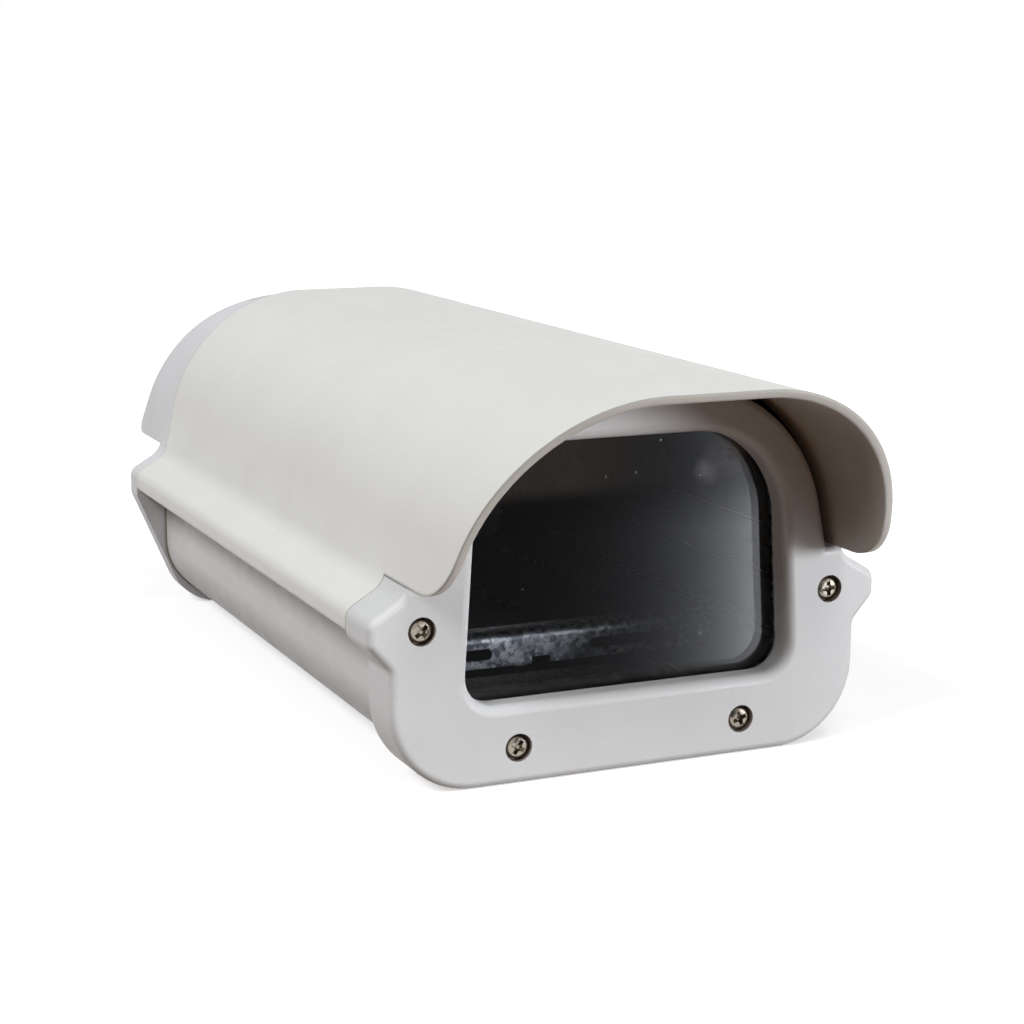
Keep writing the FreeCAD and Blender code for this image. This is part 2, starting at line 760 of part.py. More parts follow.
def cut_floor_holes(body):
    """Clearance holes below the bracket plate's threads and rivets."""
    sketch = new_sketch(body, "XY_Plane", "floor_holes_sketch")
    for across, back in bolt_places():
        draw_circle(sketch, across, back - lower_start, S["bolt_clearance"])
    for across, back in rivet_places():
        draw_circle(sketch, across, back - lower_start, S["rivet_radius"] + S["shank_gap"])
    settings = {"Reversed": True}
    sizes = {"Length": floor_top + BEYOND}
    add_feature(body, "Pocket", sketch, "floor_holes", settings, sizes, False)


# Front bezel with its glazing

def lug_centres():
    """Centres of the right-hand lugs of the retainer: beside the window and below it."""
    beside_up = window_top - S["window_radius"] - S["lug_drop"]
    beside = window_side(0.0, beside_up) + S["glass_overlap"] + S["lug_beside"]
    below_up = S["window_sill"] - S["glass_overlap"] - S["lug_below"]
    return (beside, beside_up), (S["lug_across"], below_up)


def lug_places():
    for across, up in lug_centres():
        for side in SIDES:
            yield side * across, up


def draw_lugs(sketch, radius, depth):
    """Four round-ended lugs that stick out of the retainer's ring."""
    (beside, beside_up), (below, below_up) = lug_centres()
    outward = [
        (beside - depth, beside_up - radius),
        (beside, beside_up - radius),
        (beside + radius, beside_up, radius, LEFT),
        (beside, beside_up + radius, radius, LEFT),
        (beside - depth, beside_up + radius),
    ]
    downward = [
        (below + radius, below_up + depth),
        (below - radius, below_up + depth),
        (below - radius, below_up),
        (below, below_up - radius, radius, LEFT),
        (below + radius, below_up, radius, LEFT),
    ]
    for outline in (outward, downward):
        draw_outline(sketch, outline)
        draw_outline(sketch, other_side(outline))


def front_bezel():
    body = new_body("front_bezel")
    outline = new_sketch(body, "XZ_Plane", "outline")
    ledge = S["hood_bottom"] - S["fit_gap"]
    draw_outline(outline, cover_outline(S["bezel_arch_inset"], ledge, bezel_side()))
    pad_back(body, outline, S["bezel_depth"])
    tip, low, foot = ear_tip.value, S["ear_bottom"].value, S["bezel_ear_foot"].value
    round_edges(body, "ear_rounds", S["ear_blend"],
                lambda edge: runs_back_at(edge, tip, low)
                or runs_back_at(edge, flank.value, foot))
    round_edges(body, "front_round", S["bezel_edge"], lambda edge: in_cross_plane(edge, 0.0))
    opening = new_sketch(body, "XZ_Plane", "opening")
    draw_outline(opening, window_outline(0.0))
    cut_back(body, opening, S["bezel_depth"], "window")
    round_edges(body, "window_round", S["window_edge"],
                lambda edge: in_cross_plane(edge, 0.0) and bounds_window(edge))
    pocket = new_sketch(body, "XZ_Plane", "glass_pocket_sketch", -S["bezel_front_wall"])
    draw_outline(pocket, window_outline(S["glass_overlap"] + S["fit_gap"]))
    cut_back(body, pocket, S["bezel_depth"] - S["bezel_front_wall"], "glass_pocket")
    lugs = new_sketch(body, "XZ_Plane", "lug_pockets_sketch", -retainer_start)
    draw_lugs(lugs, S["lug_radius"] + S["fit_gap"], S["lug_root"])
    cut_back(body, lugs, S["bezel_depth"] - retainer_start, "lug_pockets")
    bore, depth = S["small_screw_radius"] + S["shank_gap"], S["small_screw_bore"]
    cut_holes(body, lug_places(), bore, retainer_start - depth, depth, "lug_bores")
    cut_cover_holes(body, 0.0, S["bezel_depth"])
    return body


def bounds_window(edge):
    """Whether an edge lies on the window opening's outline."""
    box = edge.BoundBox
    slack = 0.1
    widest = window_side(0.0, S["window_sill"]).value + slack
    above_sill = box.ZMin > S["window_sill"].value - slack
    below_top = box.ZMax < window_top.value + slack
    return above_sill and below_top and max(abs(box.XMin), abs(box.XMax)) < widest


def cut_cover_holes(body, head_start, depth):
    """Four shank holes and the pockets that take the screw heads."""
    shank = S["screw_radius"] + S["hole_gap"]
    pocket, pocket_depth = S["head_pocket"], S["head_pocket_depth"]
    cut_holes(body, cover_screw_places(), shank, 0.0, depth, "shank_holes")
    cut_holes(body, cover_screw_places(), pocket, head_start, pocket_depth, "head_pockets")


def frame_ring(label, back, outer, inner, thickness):
    """Flat ring that follows the window opening."""
    body = new_body(label, back)
    ring = new_sketch(body, "XZ_Plane", "ring")
    draw_outline(ring, window_outline(outer))
    draw_outline(ring, window_outline(inner))
    pad_back(body, ring, thickness)
    return body


def window_gasket():
    return frame_ring("window_gasket", S["bezel_front_wall"], S["glass_overlap"],
                      S["seal_lip"], S["window_seal"])


def window_glass():
    body = new_body("window_glass", glass_start)
    pane = new_sketch(body, "XZ_Plane", "pane")
    draw_outline(pane, window_outline(S["glass_overlap"]))
    pad_back(body, pane, S["glass_thickness"])
    return body


def window_retainer():
    body = frame_ring("window_retainer", retainer_start, S["glass_overlap"],
                      S["retainer_lip"], S["retainer_wall"])
    lugs = new_sketch(body, "XZ_Plane", "lugs_sketch")
    draw_lugs(lugs, S["lug_radius"], S["lug_root"])
    pad_back(body, lugs, S["retainer_wall"], "lugs")
    shank = S["small_screw_radius"] + S["hole_gap"]
    cut_holes(body, lug_places(), shank, 0.0, S["retainer_wall"], "lug_holes")
    return body


# End gaskets

def end_gasket(label, back):
    """Flat rubber ring on the end of the shells, with an eye round each screw."""
    body = new_body(label, back)
    ring = new_sketch(body, "XZ_Plane", "ring")
    draw_outline(ring, gasket_outline(0.0))
    draw_outline(ring, gasket_outline(S["gasket_width"]))
    pad_back(body, ring, S["gasket_wall"])
    eyes = new_sketch(body, "XZ_Plane", "eyes_sketch")
    for across, up in cover_screw_places():
        draw_circle(eyes, across, up, S["port_radius"])
    pad_back(body, eyes, S["gasket_wall"], "eyes")
    shank = S["screw_radius"] + S["hole_gap"]
    cut_holes(body, cover_screw_places(), shank, 0.0, S["gasket_wall"], "holes")
    return body


def gasket_outline(inward):
    """Arch just inside the upper shell, lower half just outside the lower shell."""
    arch = S["shell_wall"] + S["gasket_proud"] / 2 + inward
    low = S["shell_inset"] - S["gasket_proud"] + inward
    half = flank - low
    corner = S["cover_corner"] - low
    lean = S["side_lean"]
    reach = S["crown_radius"] - arch - (half - crown_flat) * cosine(lean)
    meet = S["overall_height"] - S["crown_radius"] + reach / sine(lean)
    return mirrored(arch_side(arch) + [
        (half, meet),
        (half, S["cover_corner"]),
        (flank - S["cover_corner"], low, corner, RIGHT),
    ])


# Rear cap: flange with ears, panel for the cable glands and an arched collar over them

def rear_cap():
    body = new_body("rear_cap", cap_start)
    outline = new_sketch(body, "XZ_Plane", "outline")
    draw_outline(outline, cover_outline(S["collar_inset"], S["hood_bottom"], cap_side()))
    pad_back(body, outline, S["cap_flange"])
    tip, low = ear_tip.value, S["cap_ear_bottom"].value
    round_edges(body, "ear_rounds", S["ear_blend"], lambda edge: runs_back_at(edge, tip, low))
    rear = S["cap_flange"].value
    lowest = S["hood_bottom"].value
    round_edges(body, "rear_round", S["cap_edge"],
                lambda edge: in_cross_plane(edge, rear) and edge.BoundBox.ZMax < lowest - 0.1)
    add_collar(body)
    hollow = new_sketch(body, "XZ_Plane", "hollow_sketch")
    draw_outline(hollow, window_outline(S["glass_overlap"]))
    cut_back(body, hollow, S["cap_flange"] - S["cap_wall"], "hollow")
    cut_cover_holes(body, S["cap_flange"] - S["head_pocket_depth"], S["cap_flange"])
    glands = [(place, S["gland_height"]) for place in gland_places()]
    cut_holes(body, glands, S["gland_thread"] + S["hole_gap"], 0.0, S["cap_flange"], "gland_holes")
    return body


def add_collar(body):
    """Arched wall behind the flange, cut at the hood's slant with a rounded top."""
    low = S["collar_bottom"]
    outer, inner = S["collar_inset"], S["collar_inset"] + S["collar_wall"]
    arch = new_sketch(body, "XZ_Plane", "collar_sketch")
    outside = arch_side(outer) + [(side_at(outer, low), low)]
    inside = [(side_at(inner, low), low)] + reversed_run(arch_side(inner))
    draw_outline(arch, mirrored(outside + inside))
    pad_back(body, arch, S["collar_reach"], "collar")
    trim_collar(body)
    rear = S["collar_reach"].value
    round_edges(body, "collar_corner", S["collar_corner"],
                lambda edge: in_cross_plane(edge, rear) and near(edge.BoundBox.ZMax, low.value))


def trim_collar(body):
    slant, radius = S["hood_slant"], S["collar_round"]
    top = S["overall_height"] - S["collar_inset"]
    low, reach = S["collar_bottom"], S["collar_reach"]
    slant_top = reach - (top - low) * tangent(slant)
    run = radius * tangent((90.0 - slant) / 2)
    sketch = new_sketch(body, "YZ_Plane", "collar_trim_sketch")
    draw_outline(sketch, [
        (slant_top - run, top),
        (slant_top + run * sine(slant), top - run * cosine(slant), radius, RIGHT),
        (reach, low),
        (reach + BEYOND, low),
        (reach + BEYOND, top + BEYOND),
        (slant_top - run, top + BEYOND),
    ])
    cut_through(body, sketch, "collar_trim")


# Turned and hexagonal small parts

def turned_part(label, outline, plane, **place):
    """Solid turned about the local Y axis (XY sketch) or Z axis (XZ sketch)."""
    body = new_body(label, **place)
    sketch = new_sketch(body, plane, "half_section")
    draw_outline(sketch, outline)
    revolve(body, sketch)
    return body


def pan_screw(label, radius, head, height, length, **place):
    """Pan head screw with a cross recess. The head's seat is at local y 0, its shank runs to +Y."""
    dome_height, flat, dome_radius = height * 0.55, head * 0.5, head * 0.68
    tip = S["screw_tip"]
    body = turned_part(label, [
        (0.0, -height),
        (0.0, length),
        (radius - tip, length),
        (radius, length - tip),
        (radius, 0.0),
        (head, 0.0),
        (head, dome_height - height),
        (flat, -height, dome_radius, RIGHT),
    ], "XY_Plane", **place)
    cross = new_sketch(body, "XZ_Plane", "cross_sketch", height)
    arm, half = head * 0.55, S["cross_half"]
    draw_outline(cross, [
        (half, half), (half, arm), (-half, arm), (-half, half), (-arm, half), (-arm, -half),
        (-half, -half), (-half, -arm), (half, -arm), (half, -half), (arm, -half), (arm, half),
    ])
    cut_back(body, cross, height * 0.6, "cross")
    return body


def cover_screws(prefix, back, length, turned):
    screws = []
    for index, (across, up) in enumerate(cover_screw_places(), start=1):
        label = "%s_screw_%d" % (prefix, index)
        screws.append(pan_screw(label, S["screw_radius"], S["screw_head"], S["screw_head_height"],
                                length, back=back, across=across, up=up, turned=turned))
    return screws


def retainer_screws():
    screws = []
    back = retainer_start + S["retainer_wall"]
    for index, (across, up) in enumerate(lug_places(), start=1):
        label = "retainer_screw_%d" % index
        screws.append(pan_screw(label, S["small_screw_radius"], S["small_screw_head"],
                                S["small_screw_head_height"], S["small_screw_length"],
                                back=back, across=across, up=up, turned=True))
    return screws


def hex_part(label, flats, length, bore, **place):
    body = new_body(label, **place)
    hexagon = new_sketch(body, "XZ_Plane", "hexagon")
    draw_hexagon(hexagon, flats)
    pad_back(body, hexagon, length)
    hole = new_sketch(body, "XZ_Plane", "bore_sketch")
    draw_circle(hole, 0.0, 0.0, bore)
    cut_back(body, hole, length, "bore")
    return body


def gland_places():
    for step in (-1, 0, 1):
        yield step * gland_spacing


def cable_gland(index, across):
    """One gland: washer and body behind the panel, locknut inside, seal and nut outside."""
    panel = cap_start + S["cap_flange"]
    inside = cap_start + S["cap_flange"] - S["cap_wall"]
    thread, bore = S["gland_thread"], S["gland_bore"]
    up = S["gland_height"]
    collar_start = panel + S["gland_washer"]
    nut_start = collar_start + S["gland_collar"]
    pieces = []

    washer = new_body("gland_washer_%d" % index, panel, across, up)
    ring = new_sketch(washer, "XZ_Plane", "ring")
    draw_circle(ring, 0.0, 0.0, S["gland_flats"] / 2)
    draw_circle(ring, 0.0, 0.0, thread + S["shank_gap"])
    pad_back(washer, ring, S["gland_washer"])
    pieces.append(washer)

    body = hex_part("gland_body_%d" % index, S["gland_flats"], S["gland_collar"], bore,
                    back=collar_start, across=across, up=up)
    reach = S["gland_washer"] + S["cap_wall"] + S["locknut_wall"] + S["gland_tail"]
    tube = new_sketch(body, "XZ_Plane", "tube_sketch", reach)
    draw_circle(tube, 0.0, 0.0, thread)
    draw_circle(tube, 0.0, 0.0, bore)
    pad_back(body, tube, reach, "tube")
    pieces.append(body)

    pieces.append(hex_part("gland_locknut_%d" % index, S["locknut_flats"], S["locknut_wall"],
                           thread + S["shank_gap"], back=inside - S["locknut_wall"], across=across, up=up))

    nut_hex, nut_bore, lip = S["gland_nut_hex"], S["gland_nut_bore"], S["gland_nut_lip"]
    length, shoulder = S["gland_nut_length"], S["gland_shoulder"]
    nut = hex_part("gland_nut_%d" % index, S["gland_flats"], nut_hex, nut_bore,
                   back=nut_start, across=across, up=up)
    cone = new_sketch(nut, "XY_Plane", "cone_sketch")
    draw_outline(cone, [
        (nut_bore, nut_hex - lip),
        (shoulder, nut_hex - lip),
        (shoulder, nut_hex + lip),
        (S["gland_dome"], length, S["gland_crown"], LEFT),
        (bore, length),
        (bore, length - lip),
        (nut_bore, nut_hex + lip),
    ])
    revolve(nut, cone, "cone")
    pieces.append(nut)

    cable, seal_radius = S["gland_cable"], nut_bore - S["fit_gap"]
    seal_end = length - lip - S["fit_gap"]
    pieces.append(turned_part("gland_seal_%d" % index, [
        (cable, 0.0),
        (seal_radius, 0.0),
        (seal_radius, nut_hex + lip - S["fit_gap"]),
        (bore, seal_end),
        (cable, seal_end),
    ], "XY_Plane", back=nut_start, across=across, up=up))
    return pieces


# Camera tray: galvanised sheet with bent flanges, sliding in the lower shell's grooves

def camera_tray():
    body = new_body("camera_tray", S["tray_start"])
    length, wall, bend = S["tray_length"], S["tray_wall"], S["tray_bend"]
    top, foot = S["tray_top"], S["tray_foot"]
    section = new_sketch(body, "YZ_Plane", "section")
    draw_outline(section, [
        (0.0, foot),
        (wall, foot),
        (wall, top - bend),
        (bend, top - wall, bend - wall, RIGHT),
        (length - bend, top - wall),
        (length - wall, top - bend, bend - wall, RIGHT),
        (length - wall, foot),
        (length, foot),
        (length, top - bend),
        (length - bend, top, bend, LEFT),
        (bend, top),
        (0.0, top - bend, bend, LEFT),
    ])
    half = wall_inside - S["fit_gap"]
    settings = {"SideType": "Symmetric"}
    add_feature(body, "Pad", section, "sheet", settings, {"Length": half * 2}, True)
    cut_deck(body, half)
    cut_flanges(body)
    return body


def cut_deck(body, half):
    """Corner notches that free the flanges from the side wings, and the camera slots."""
    length, relief = S["tray_length"], S["tray_bend"] + S["bend_relief"]
    sketch = new_sketch(body, "XY_Plane", "deck_sketch")
    for side in SIDES:
        inner, outer = side * (wall_inside - S["flange_inset"]), side * (half + BEYOND)
        draw_box(sketch, inner, -BEYOND, outer, relief)
        draw_box(sketch, inner, length - relief, outer, length + BEYOND)
    low = (length - S["camera_slot_length"]) / 2
    for across in (-S["side_slot_across"], 0.0, S["side_slot_across"]):
        draw_slot(sketch, across, low, length - low, S["camera_slot_half"])
    cut_through(body, sketch, "deck_cuts")


def cut_flanges(body):
    """Two cross slots and a middle notch in each flange."""
    sketch = new_sketch(body, "XZ_Plane", "flange_sketch")
    low, half = S["flange_slot_low"], S["flange_slot_width"] / 2
    start, end = S["flange_slot_start"], S["flange_slot_end"]
    for side in SIDES:
        left, right = (start, end) if side > 0 else (-end, -start)
        draw_level_slot(sketch, left, right, low, half)
    notch, foot = S["notch_half"], S["tray_foot"]
    draw_box(sketch, -notch, foot - BEYOND, notch, foot + S["notch_depth"])
    cut_through(body, sketch, "flange_cuts")


def camera_pad():
    """Insulating sheet that covers the tray's deck below the camera."""
    margin = S["pad_margin"]
    body = new_body("camera_pad", S["tray_start"] + margin, up=S["tray_top"])
    sheet = new_sketch(body, "XY_Plane", "sheet")
    half, length = wall_inside - S["pad_inset"], S["tray_length"] - margin * 2
    draw_box(sheet, -half, 0.0, half, length)
    slot_margin = (length - S["camera_slot_length"]) / 2
    for across in (-S["side_slot_across"], 0.0, S["side_slot_across"]):
        draw_slot(sheet, across, slot_margin, length - slot_margin, S["camera_slot_half"])
    add_feature(body, "Pad", sheet, "pad", {}, {"Length": S["pad_wall"]}, True)
    return body


def camera_fixing():
    """Camera screw, pushed up through the tray's middle slot, and its washer."""
    back = S["tray_start"] + S["tray_length"] / 2
    washer_wall, washer_radius = S["camera_washer_wall"], S["camera_washer_radius"]
    radius, head = S["camera_screw_radius"], S["camera_head_radius"]
    hole = radius + S["shank_gap"]
    seat = deck_bottom - washer_wall
    washer = turned_part("camera_washer", [
        (hole, 0.0),
        (washer_radius, 0.0),
        (washer_radius, washer_wall),
        (hole, washer_wall),
    ], "XZ_Plane", back=back, up=seat)
    rise = washer_wall + S["tray_wall"] + S["pad_wall"] + S["camera_screw_rise"]
    height, edge, tip = S["camera_head_height"], S["camera_head_edge"], S["camera_screw_tip"]
    screw = turned_part("camera_screw", [
        (0.0, -height),
        (head - edge, -height),
        (head, edge - height),
        (head, -edge),
        (head - edge, 0.0),
        (radius, 0.0),
        (radius, rise - tip),
        (radius - tip, rise),
        (0.0, rise),
    ], "XZ_Plane", back=back, up=seat)
    return [washer, screw]


# Bracket plate: tapped steel strip riveted to the floor

def bracket_plate():
    body = new_body("bracket_plate", S["plate_start"], up=floor_top)
    strip = new_sketch(body, "XY_Plane", "strip")
    half, length, wall = S["plate_half"], S["plate_length"], S["plate_wall"]
    draw_box(strip, -half, 0.0, half, length)
    for across, back in bolt_places():
        draw_circle(strip, across, back - S["plate_start"], S["tapped_radius"])
    for across, back in rivet_places():
        draw_circle(strip, across, back - S["plate_start"], S["rivet_radius"] + S["shank_gap"])
    add_feature(body, "Pad", strip, "pad", {}, {"Length": wall}, True)
    return body


def plate_rivets():
    """Rivets with a round head below the floor and an upset end above the plate."""
    rivets = []
    radius, head, height = S["rivet_radius"], S["rivet_head"], S["rivet_head_height"]
    flat, dome = head * 0.5, head * 0.75
    grip = S["shell_wall"] + S["plate_wall"]
    end, rise = S["rivet_end"], S["rivet_end_height"]
    for index, (across, back) in enumerate(rivet_places(), start=1):
        rivets.append(turned_part("plate_rivet_%d" % index, [
            (0.0, -height),
            (flat, -height),
            (head, 0.0, dome, LEFT),
            (radius, 0.0),
            (radius, grip),
            (end, grip),
            (end, grip + rise / 2),
            (radius, grip + rise),
            (0.0, grip + rise),
        ], "XZ_Plane", back=back, across=across, up=floor_bottom))
    return rivets


# The whole housing

gasket_and_bite = S["gasket_wall"] + S["screw_bite"]
front_screw_length = S["bezel_depth"] - S["head_pocket_depth"] + gasket_and_bite
rear_screw_length = S["cap_flange"] - S["head_pocket_depth"] + gasket_and_bite

pieces = [
    upper_shell(),
    lower_shell(),
    front_bezel(),
    window_gasket(),
    window_glass(),
    window_retainer(),
    end_gasket("front_gasket", S["bezel_depth"]),
    end_gasket("rear_gasket", lower_end),
    rear_cap(),
    camera_tray(),
    camera_pad(),
    bracket_plate(),
]
pieces += camera_fixing()
pieces += plate_rivets()
pieces += retainer_screws()
pieces += cover_screws("bezel", S["head_pocket_depth"], front_screw_length, False)
rear_seat = cap_start + S["cap_flange"] - S["head_pocket_depth"]
pieces += cover_screws("cap", rear_seat, rear_screw_length, True)
for gland_index, gland_across in enumerate(gland_places(), start=1):
    pieces += cable_gland(gland_index, gland_across)

doc.recompute()
for item in doc.Objects:
    if "Invalid" in item.State or "Error" in item.State:
        raise ValueError("failed: " + item.Label)
for piece in pieces:
    if piece.Shape.isNull() or not piece.Shape.isValid() or not piece.Shape.Solids:
        raise ValueError("no sound solid: " + piece.Label)

os.makedirs("parts", exist_ok=True)
for piece in pieces:
    piece.Shape.exportStep("parts/%s.step" % piece.Label)
print("%d pieces" % len(pieces))
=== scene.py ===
import math

import bpy
from mathutils import Matrix, Vector


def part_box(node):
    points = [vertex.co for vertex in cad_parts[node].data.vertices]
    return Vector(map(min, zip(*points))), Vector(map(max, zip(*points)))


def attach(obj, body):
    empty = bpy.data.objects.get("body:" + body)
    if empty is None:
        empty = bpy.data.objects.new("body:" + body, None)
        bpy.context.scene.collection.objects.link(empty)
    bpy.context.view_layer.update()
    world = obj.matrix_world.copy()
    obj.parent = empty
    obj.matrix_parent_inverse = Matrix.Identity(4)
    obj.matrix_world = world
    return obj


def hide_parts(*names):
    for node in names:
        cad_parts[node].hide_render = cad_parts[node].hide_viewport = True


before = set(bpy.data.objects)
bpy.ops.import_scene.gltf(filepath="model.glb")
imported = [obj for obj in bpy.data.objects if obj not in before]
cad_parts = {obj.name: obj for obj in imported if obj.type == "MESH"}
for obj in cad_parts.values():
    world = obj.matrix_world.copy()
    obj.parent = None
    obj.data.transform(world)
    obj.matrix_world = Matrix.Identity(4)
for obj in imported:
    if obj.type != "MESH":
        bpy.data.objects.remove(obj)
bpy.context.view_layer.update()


# Lower shell. A trough of extruded aluminium with four screw ports and two tray rails.
# It is powder coated light grey outside, with painted shade towards the foot and under the ear.
# It is left bare inside, drawn dark and dull as painted shade.

MM = 0.001


def linear(hex_colour):
    """An sRGB hex colour as the linear RGBA that a shader takes."""
    levels = [int(hex_colour[start:start + 2], 16) / 255 for start in (1, 3, 5)]
    light = [v / 12.92 if v <= 0.04045 else ((v + 0.055) / 1.055) ** 2.4 for v in levels]
    return (*light, 1.0)


def add(tree, kind, output=None, inputs=(), **settings):
    """Adds a node with its settings and links, and gives one output of it.

    Inputs are values or other nodes' outputs, in the sockets' order or by their identifiers.
    """
    node = tree.nodes.new("ShaderNode" + kind)
    for name, value in settings.items():
        setattr(node, name, value)
    sockets = {socket.identifier: socket for socket in node.inputs}
    for name, value in inputs.items() if isinstance(inputs, dict) else zip(sockets, inputs):
        if isinstance(value, bpy.types.NodeSocket):
            tree.links.new(value, sockets[name])
        else:
            sockets[name].default_value = value
    return next((socket for socket in node.outputs if socket.identifier == output), None)


def new_finish(name):
    """An empty finish, its tree, and the place on the piece that its patterns read."""
    finish = bpy.data.materials.new(name)
    finish.use_nodes = True
    finish.node_tree.nodes.clear()
    return finish, finish.node_tree, add(finish.node_tree, "TexCoord", "Object")


def turned_in(tree, place):
    """One on the walls that face the housing's long middle line, else nought."""
    middle = (0.0, 0.0, 50 * MM)
    facing = add(tree, "TexCoord", "Normal")
    outwards = add(tree, "VectorMath", "Vector", [place, middle], operation="SUBTRACT")
    level = add(tree, "VectorMath", "Vector", [outwards, (1, 0, 1)], operation="MULTIPLY")
    along = add(tree, "VectorMath", "Value", [level, facing], operation="DOT_PRODUCT")
    return add(tree, "Math", "Value", [along, -0.1 * MM], operation="LESS_THAN")


def inner_side(tree, place):
    """One on the walls that are inside the housing, behind the bezel, else nought."""
    window_line = -92 * MM
    back = add(tree, "SeparateXYZ", "Y", [place])
    behind = add(tree, "Math", "Value", [back, window_line], operation="GREATER_THAN")
    return add(tree, "Math", "Value", [turned_in(tree, place), behind], operation="MULTIPLY")


# Nearly all values of a noise pattern lie between these two.
MOTTLE = (0.3, 0.7)


def powder_coat(name, colour, add_painted_shade, edge_mm=0.0):
    """Baked powder paint: an even satin skin whose orange peel softens every reflection.

    The peel is drawn about twice as coarse as it is, so that it shows. The inside is bare metal,
    drawn nearly black as painted shade, with the faint streaks of the drawing.
    """
    cloud_mm, fleck_mm, gloss_mm, peel_mm, streak_mm = 28.0, 0.5, 6.0, 1.6, 0.9
    finish, tree, place = new_finish(name)
    cloud = add(tree, "TexNoise", "Fac", {"Vector": place, "Scale": 1 / (cloud_mm * MM)})
    shade = add(tree, "Mix", "Result_Color", {
        "Factor_Float": add(tree, "MapRange", "Result", [cloud, *MOTTLE, 0.0, 0.22]),
        "A_Color": linear(colour), "B_Color": linear("#D3D2CC")}, data_type="RGBA")
    fleck = add(tree, "TexNoise", "Fac", {
        "Vector": place, "Scale": 1 / (fleck_mm * MM), "Detail": 1.0})
    coat = add(tree, "Mix", "Result_Color", {
        "Factor_Float": add(tree, "MapRange", "Result", [fleck, *MOTTLE, 0.0, 0.08]),
        "A_Color": shade, "B_Color": linear("#9C9A94")}, data_type="RGBA")
    drawn = add(tree, "Mapping", "Vector", {"Vector": place, "Scale": (1.0, 0.02, 1.0)})
    streak = add(tree, "TexNoise", "Fac", {"Vector": drawn, "Scale": 1 / (streak_mm * MM)})
    # Painted shade: the bare inside is drawn nearly black, for the shade inside the closed
    # housing.
    metal = add(tree, "Mix", "Result_Color", {
        "Factor_Float": streak, "A_Color": linear("#1F1D1A"), "B_Color": linear("#34302C")},
        data_type="RGBA")
    inside = inner_side(tree, place)
    skin = add(tree, "Mix", "Result_Color", {
        "Factor_Float": inside, "A_Color": coat, "B_Color": metal}, data_type="RGBA")
    gloss = add(tree, "TexNoise", "Fac", {"Vector": place, "Scale": 1 / (gloss_mm * MM)})
    outside = add(tree, "Math", "Value", [1.0, inside], operation="SUBTRACT")
    edges = add(tree, "Bevel", "Normal", {"Radius": edge_mm * MM}, samples=6)
    fine = add(tree, "Bump", "Normal", {
        "Height": fleck, "Distance": 0.006 * MM, "Strength": outside, "Normal": edges})
    peel = add(tree, "TexNoise", "Fac", {"Vector": place, "Scale": 1 / (peel_mm * MM)})
    surface = add(tree, "BsdfPrincipled", "BSDF", {
        # The piece's own function paints its shade over this skin.
        "Base Color": add_painted_shade(tree, place, skin), "IOR": 1.5,
        "Roughness": add(tree, "MapRange", "Result", [gloss, *MOTTLE, 0.38, 0.5]),
        "Normal": add(tree, "Bump", "Normal", {
            "Height": peel, "Distance": 0.03 * MM, "Strength": outside, "Normal": fine})})
    add(tree, "OutputMaterial", inputs=[surface])
    return finish


def flank_painted_shade(tree, place, skin):
    """Painted shade: the grey skin is multiplied darker towards the foot and under the ear, where
    less light falls.
    """
    foot, foot_shade_ends, ear_shade_starts, eaves = 10.5 * MM, 20.5 * MM, 24.5 * MM, 30.5 * MM
    height = add(tree, "SeparateXYZ", "Z", [place])
    shade_at_foot = add(tree, "MapRange", "Result", [height, foot, foot_shade_ends, 1.0, 0.0])
    shade_under_ear = add(tree, "MapRange", "Result", [height, ear_shade_starts, eaves, 0.0, 1.0])
    # Painted shade, darkest at the foot and just under the ear.
    film = add(tree, "Math", "Value", [shade_at_foot, shade_under_ear], operation="MAXIMUM")
    return add(tree, "Mix", "Result_Color", {
        "Factor_Float": film, "A_Color": skin, "B_Color": linear("#C2C2C2")},
        data_type="RGBA", blend_type="MULTIPLY")


def dress(node, finish, edge_mm, sharp_from=35):
    """A solid of the frame keeps its place. Its skin is joined, its edges are eased, and it
    gets its finish."""
    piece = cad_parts[node]
    piece.material_slots[0].material = finish
    normals = piece.data.attributes.get("custom_normal")
    if normals:
        piece.data.attributes.remove(normals)
    piece.data.shade_smooth()
    weld = piece.modifiers.new("joined skin", "WELD")
    weld.merge_threshold = 0.002 * MM
    flat = piece.modifiers.new("whole faces", "DECIMATE")
    flat.decimate_type = "DISSOLVE"
    flat.angle_limit = math.radians(0.4)
    ease = piece.modifiers.new("eased edges", "BEVEL")
    ease.width = edge_mm * MM
    ease.segments = 2
    ease.limit_method = "ANGLE"
    ease.angle_limit = math.radians(sharp_from)
    ease.use_clamp_overlap = True
    even = piece.modifiers.new("even shine", "WEIGHTED_NORMAL")
    even.keep_sharp = True


# Its finish paints shade at the foot, under the ear and on the inside.
dress("lower_shell", powder_coat("light grey powder coat", "#CFCFCF", flank_painted_shade), 0.25)


# Bracket plate: a phosphated steel strip, tapped for the bracket and held to the floor by two
# aluminium rivets, whose upset ends show the marks of the tool.

def bare_metal(name, colour, scratch_mm, smooth, rough):
    """Turned or pressed metal: its shine breaks up in faint marks of handling."""
    finish, tree, place = new_finish(name)
    marks = add(tree, "TexNoise", "Fac", {
        "Vector": place, "Scale": 1 / (scratch_mm * MM), "Detail": 4.0})
    worn = add(tree, "Mix", "Result_Color", {
        "Factor_Float": add(tree, "MapRange", "Result", [marks, *MOTTLE, 0.0, 0.3]),
        "A_Color": linear(colour), "B_Color": linear("#8A857C")}, data_type="RGBA")
    surface = add(tree, "BsdfPrincipled", "BSDF", {
        "Base Color": worn, "Metallic": 1.0,
        "Roughness": add(tree, "MapRange", "Result", [marks, *MOTTLE, smooth, rough]),
        "Normal": add(tree, "Bump", "Normal", {
            "Height": marks, "Distance": 0.004 * MM, "Strength": 1.0})})
    add(tree, "OutputMaterial", inputs=[surface])
    return finish


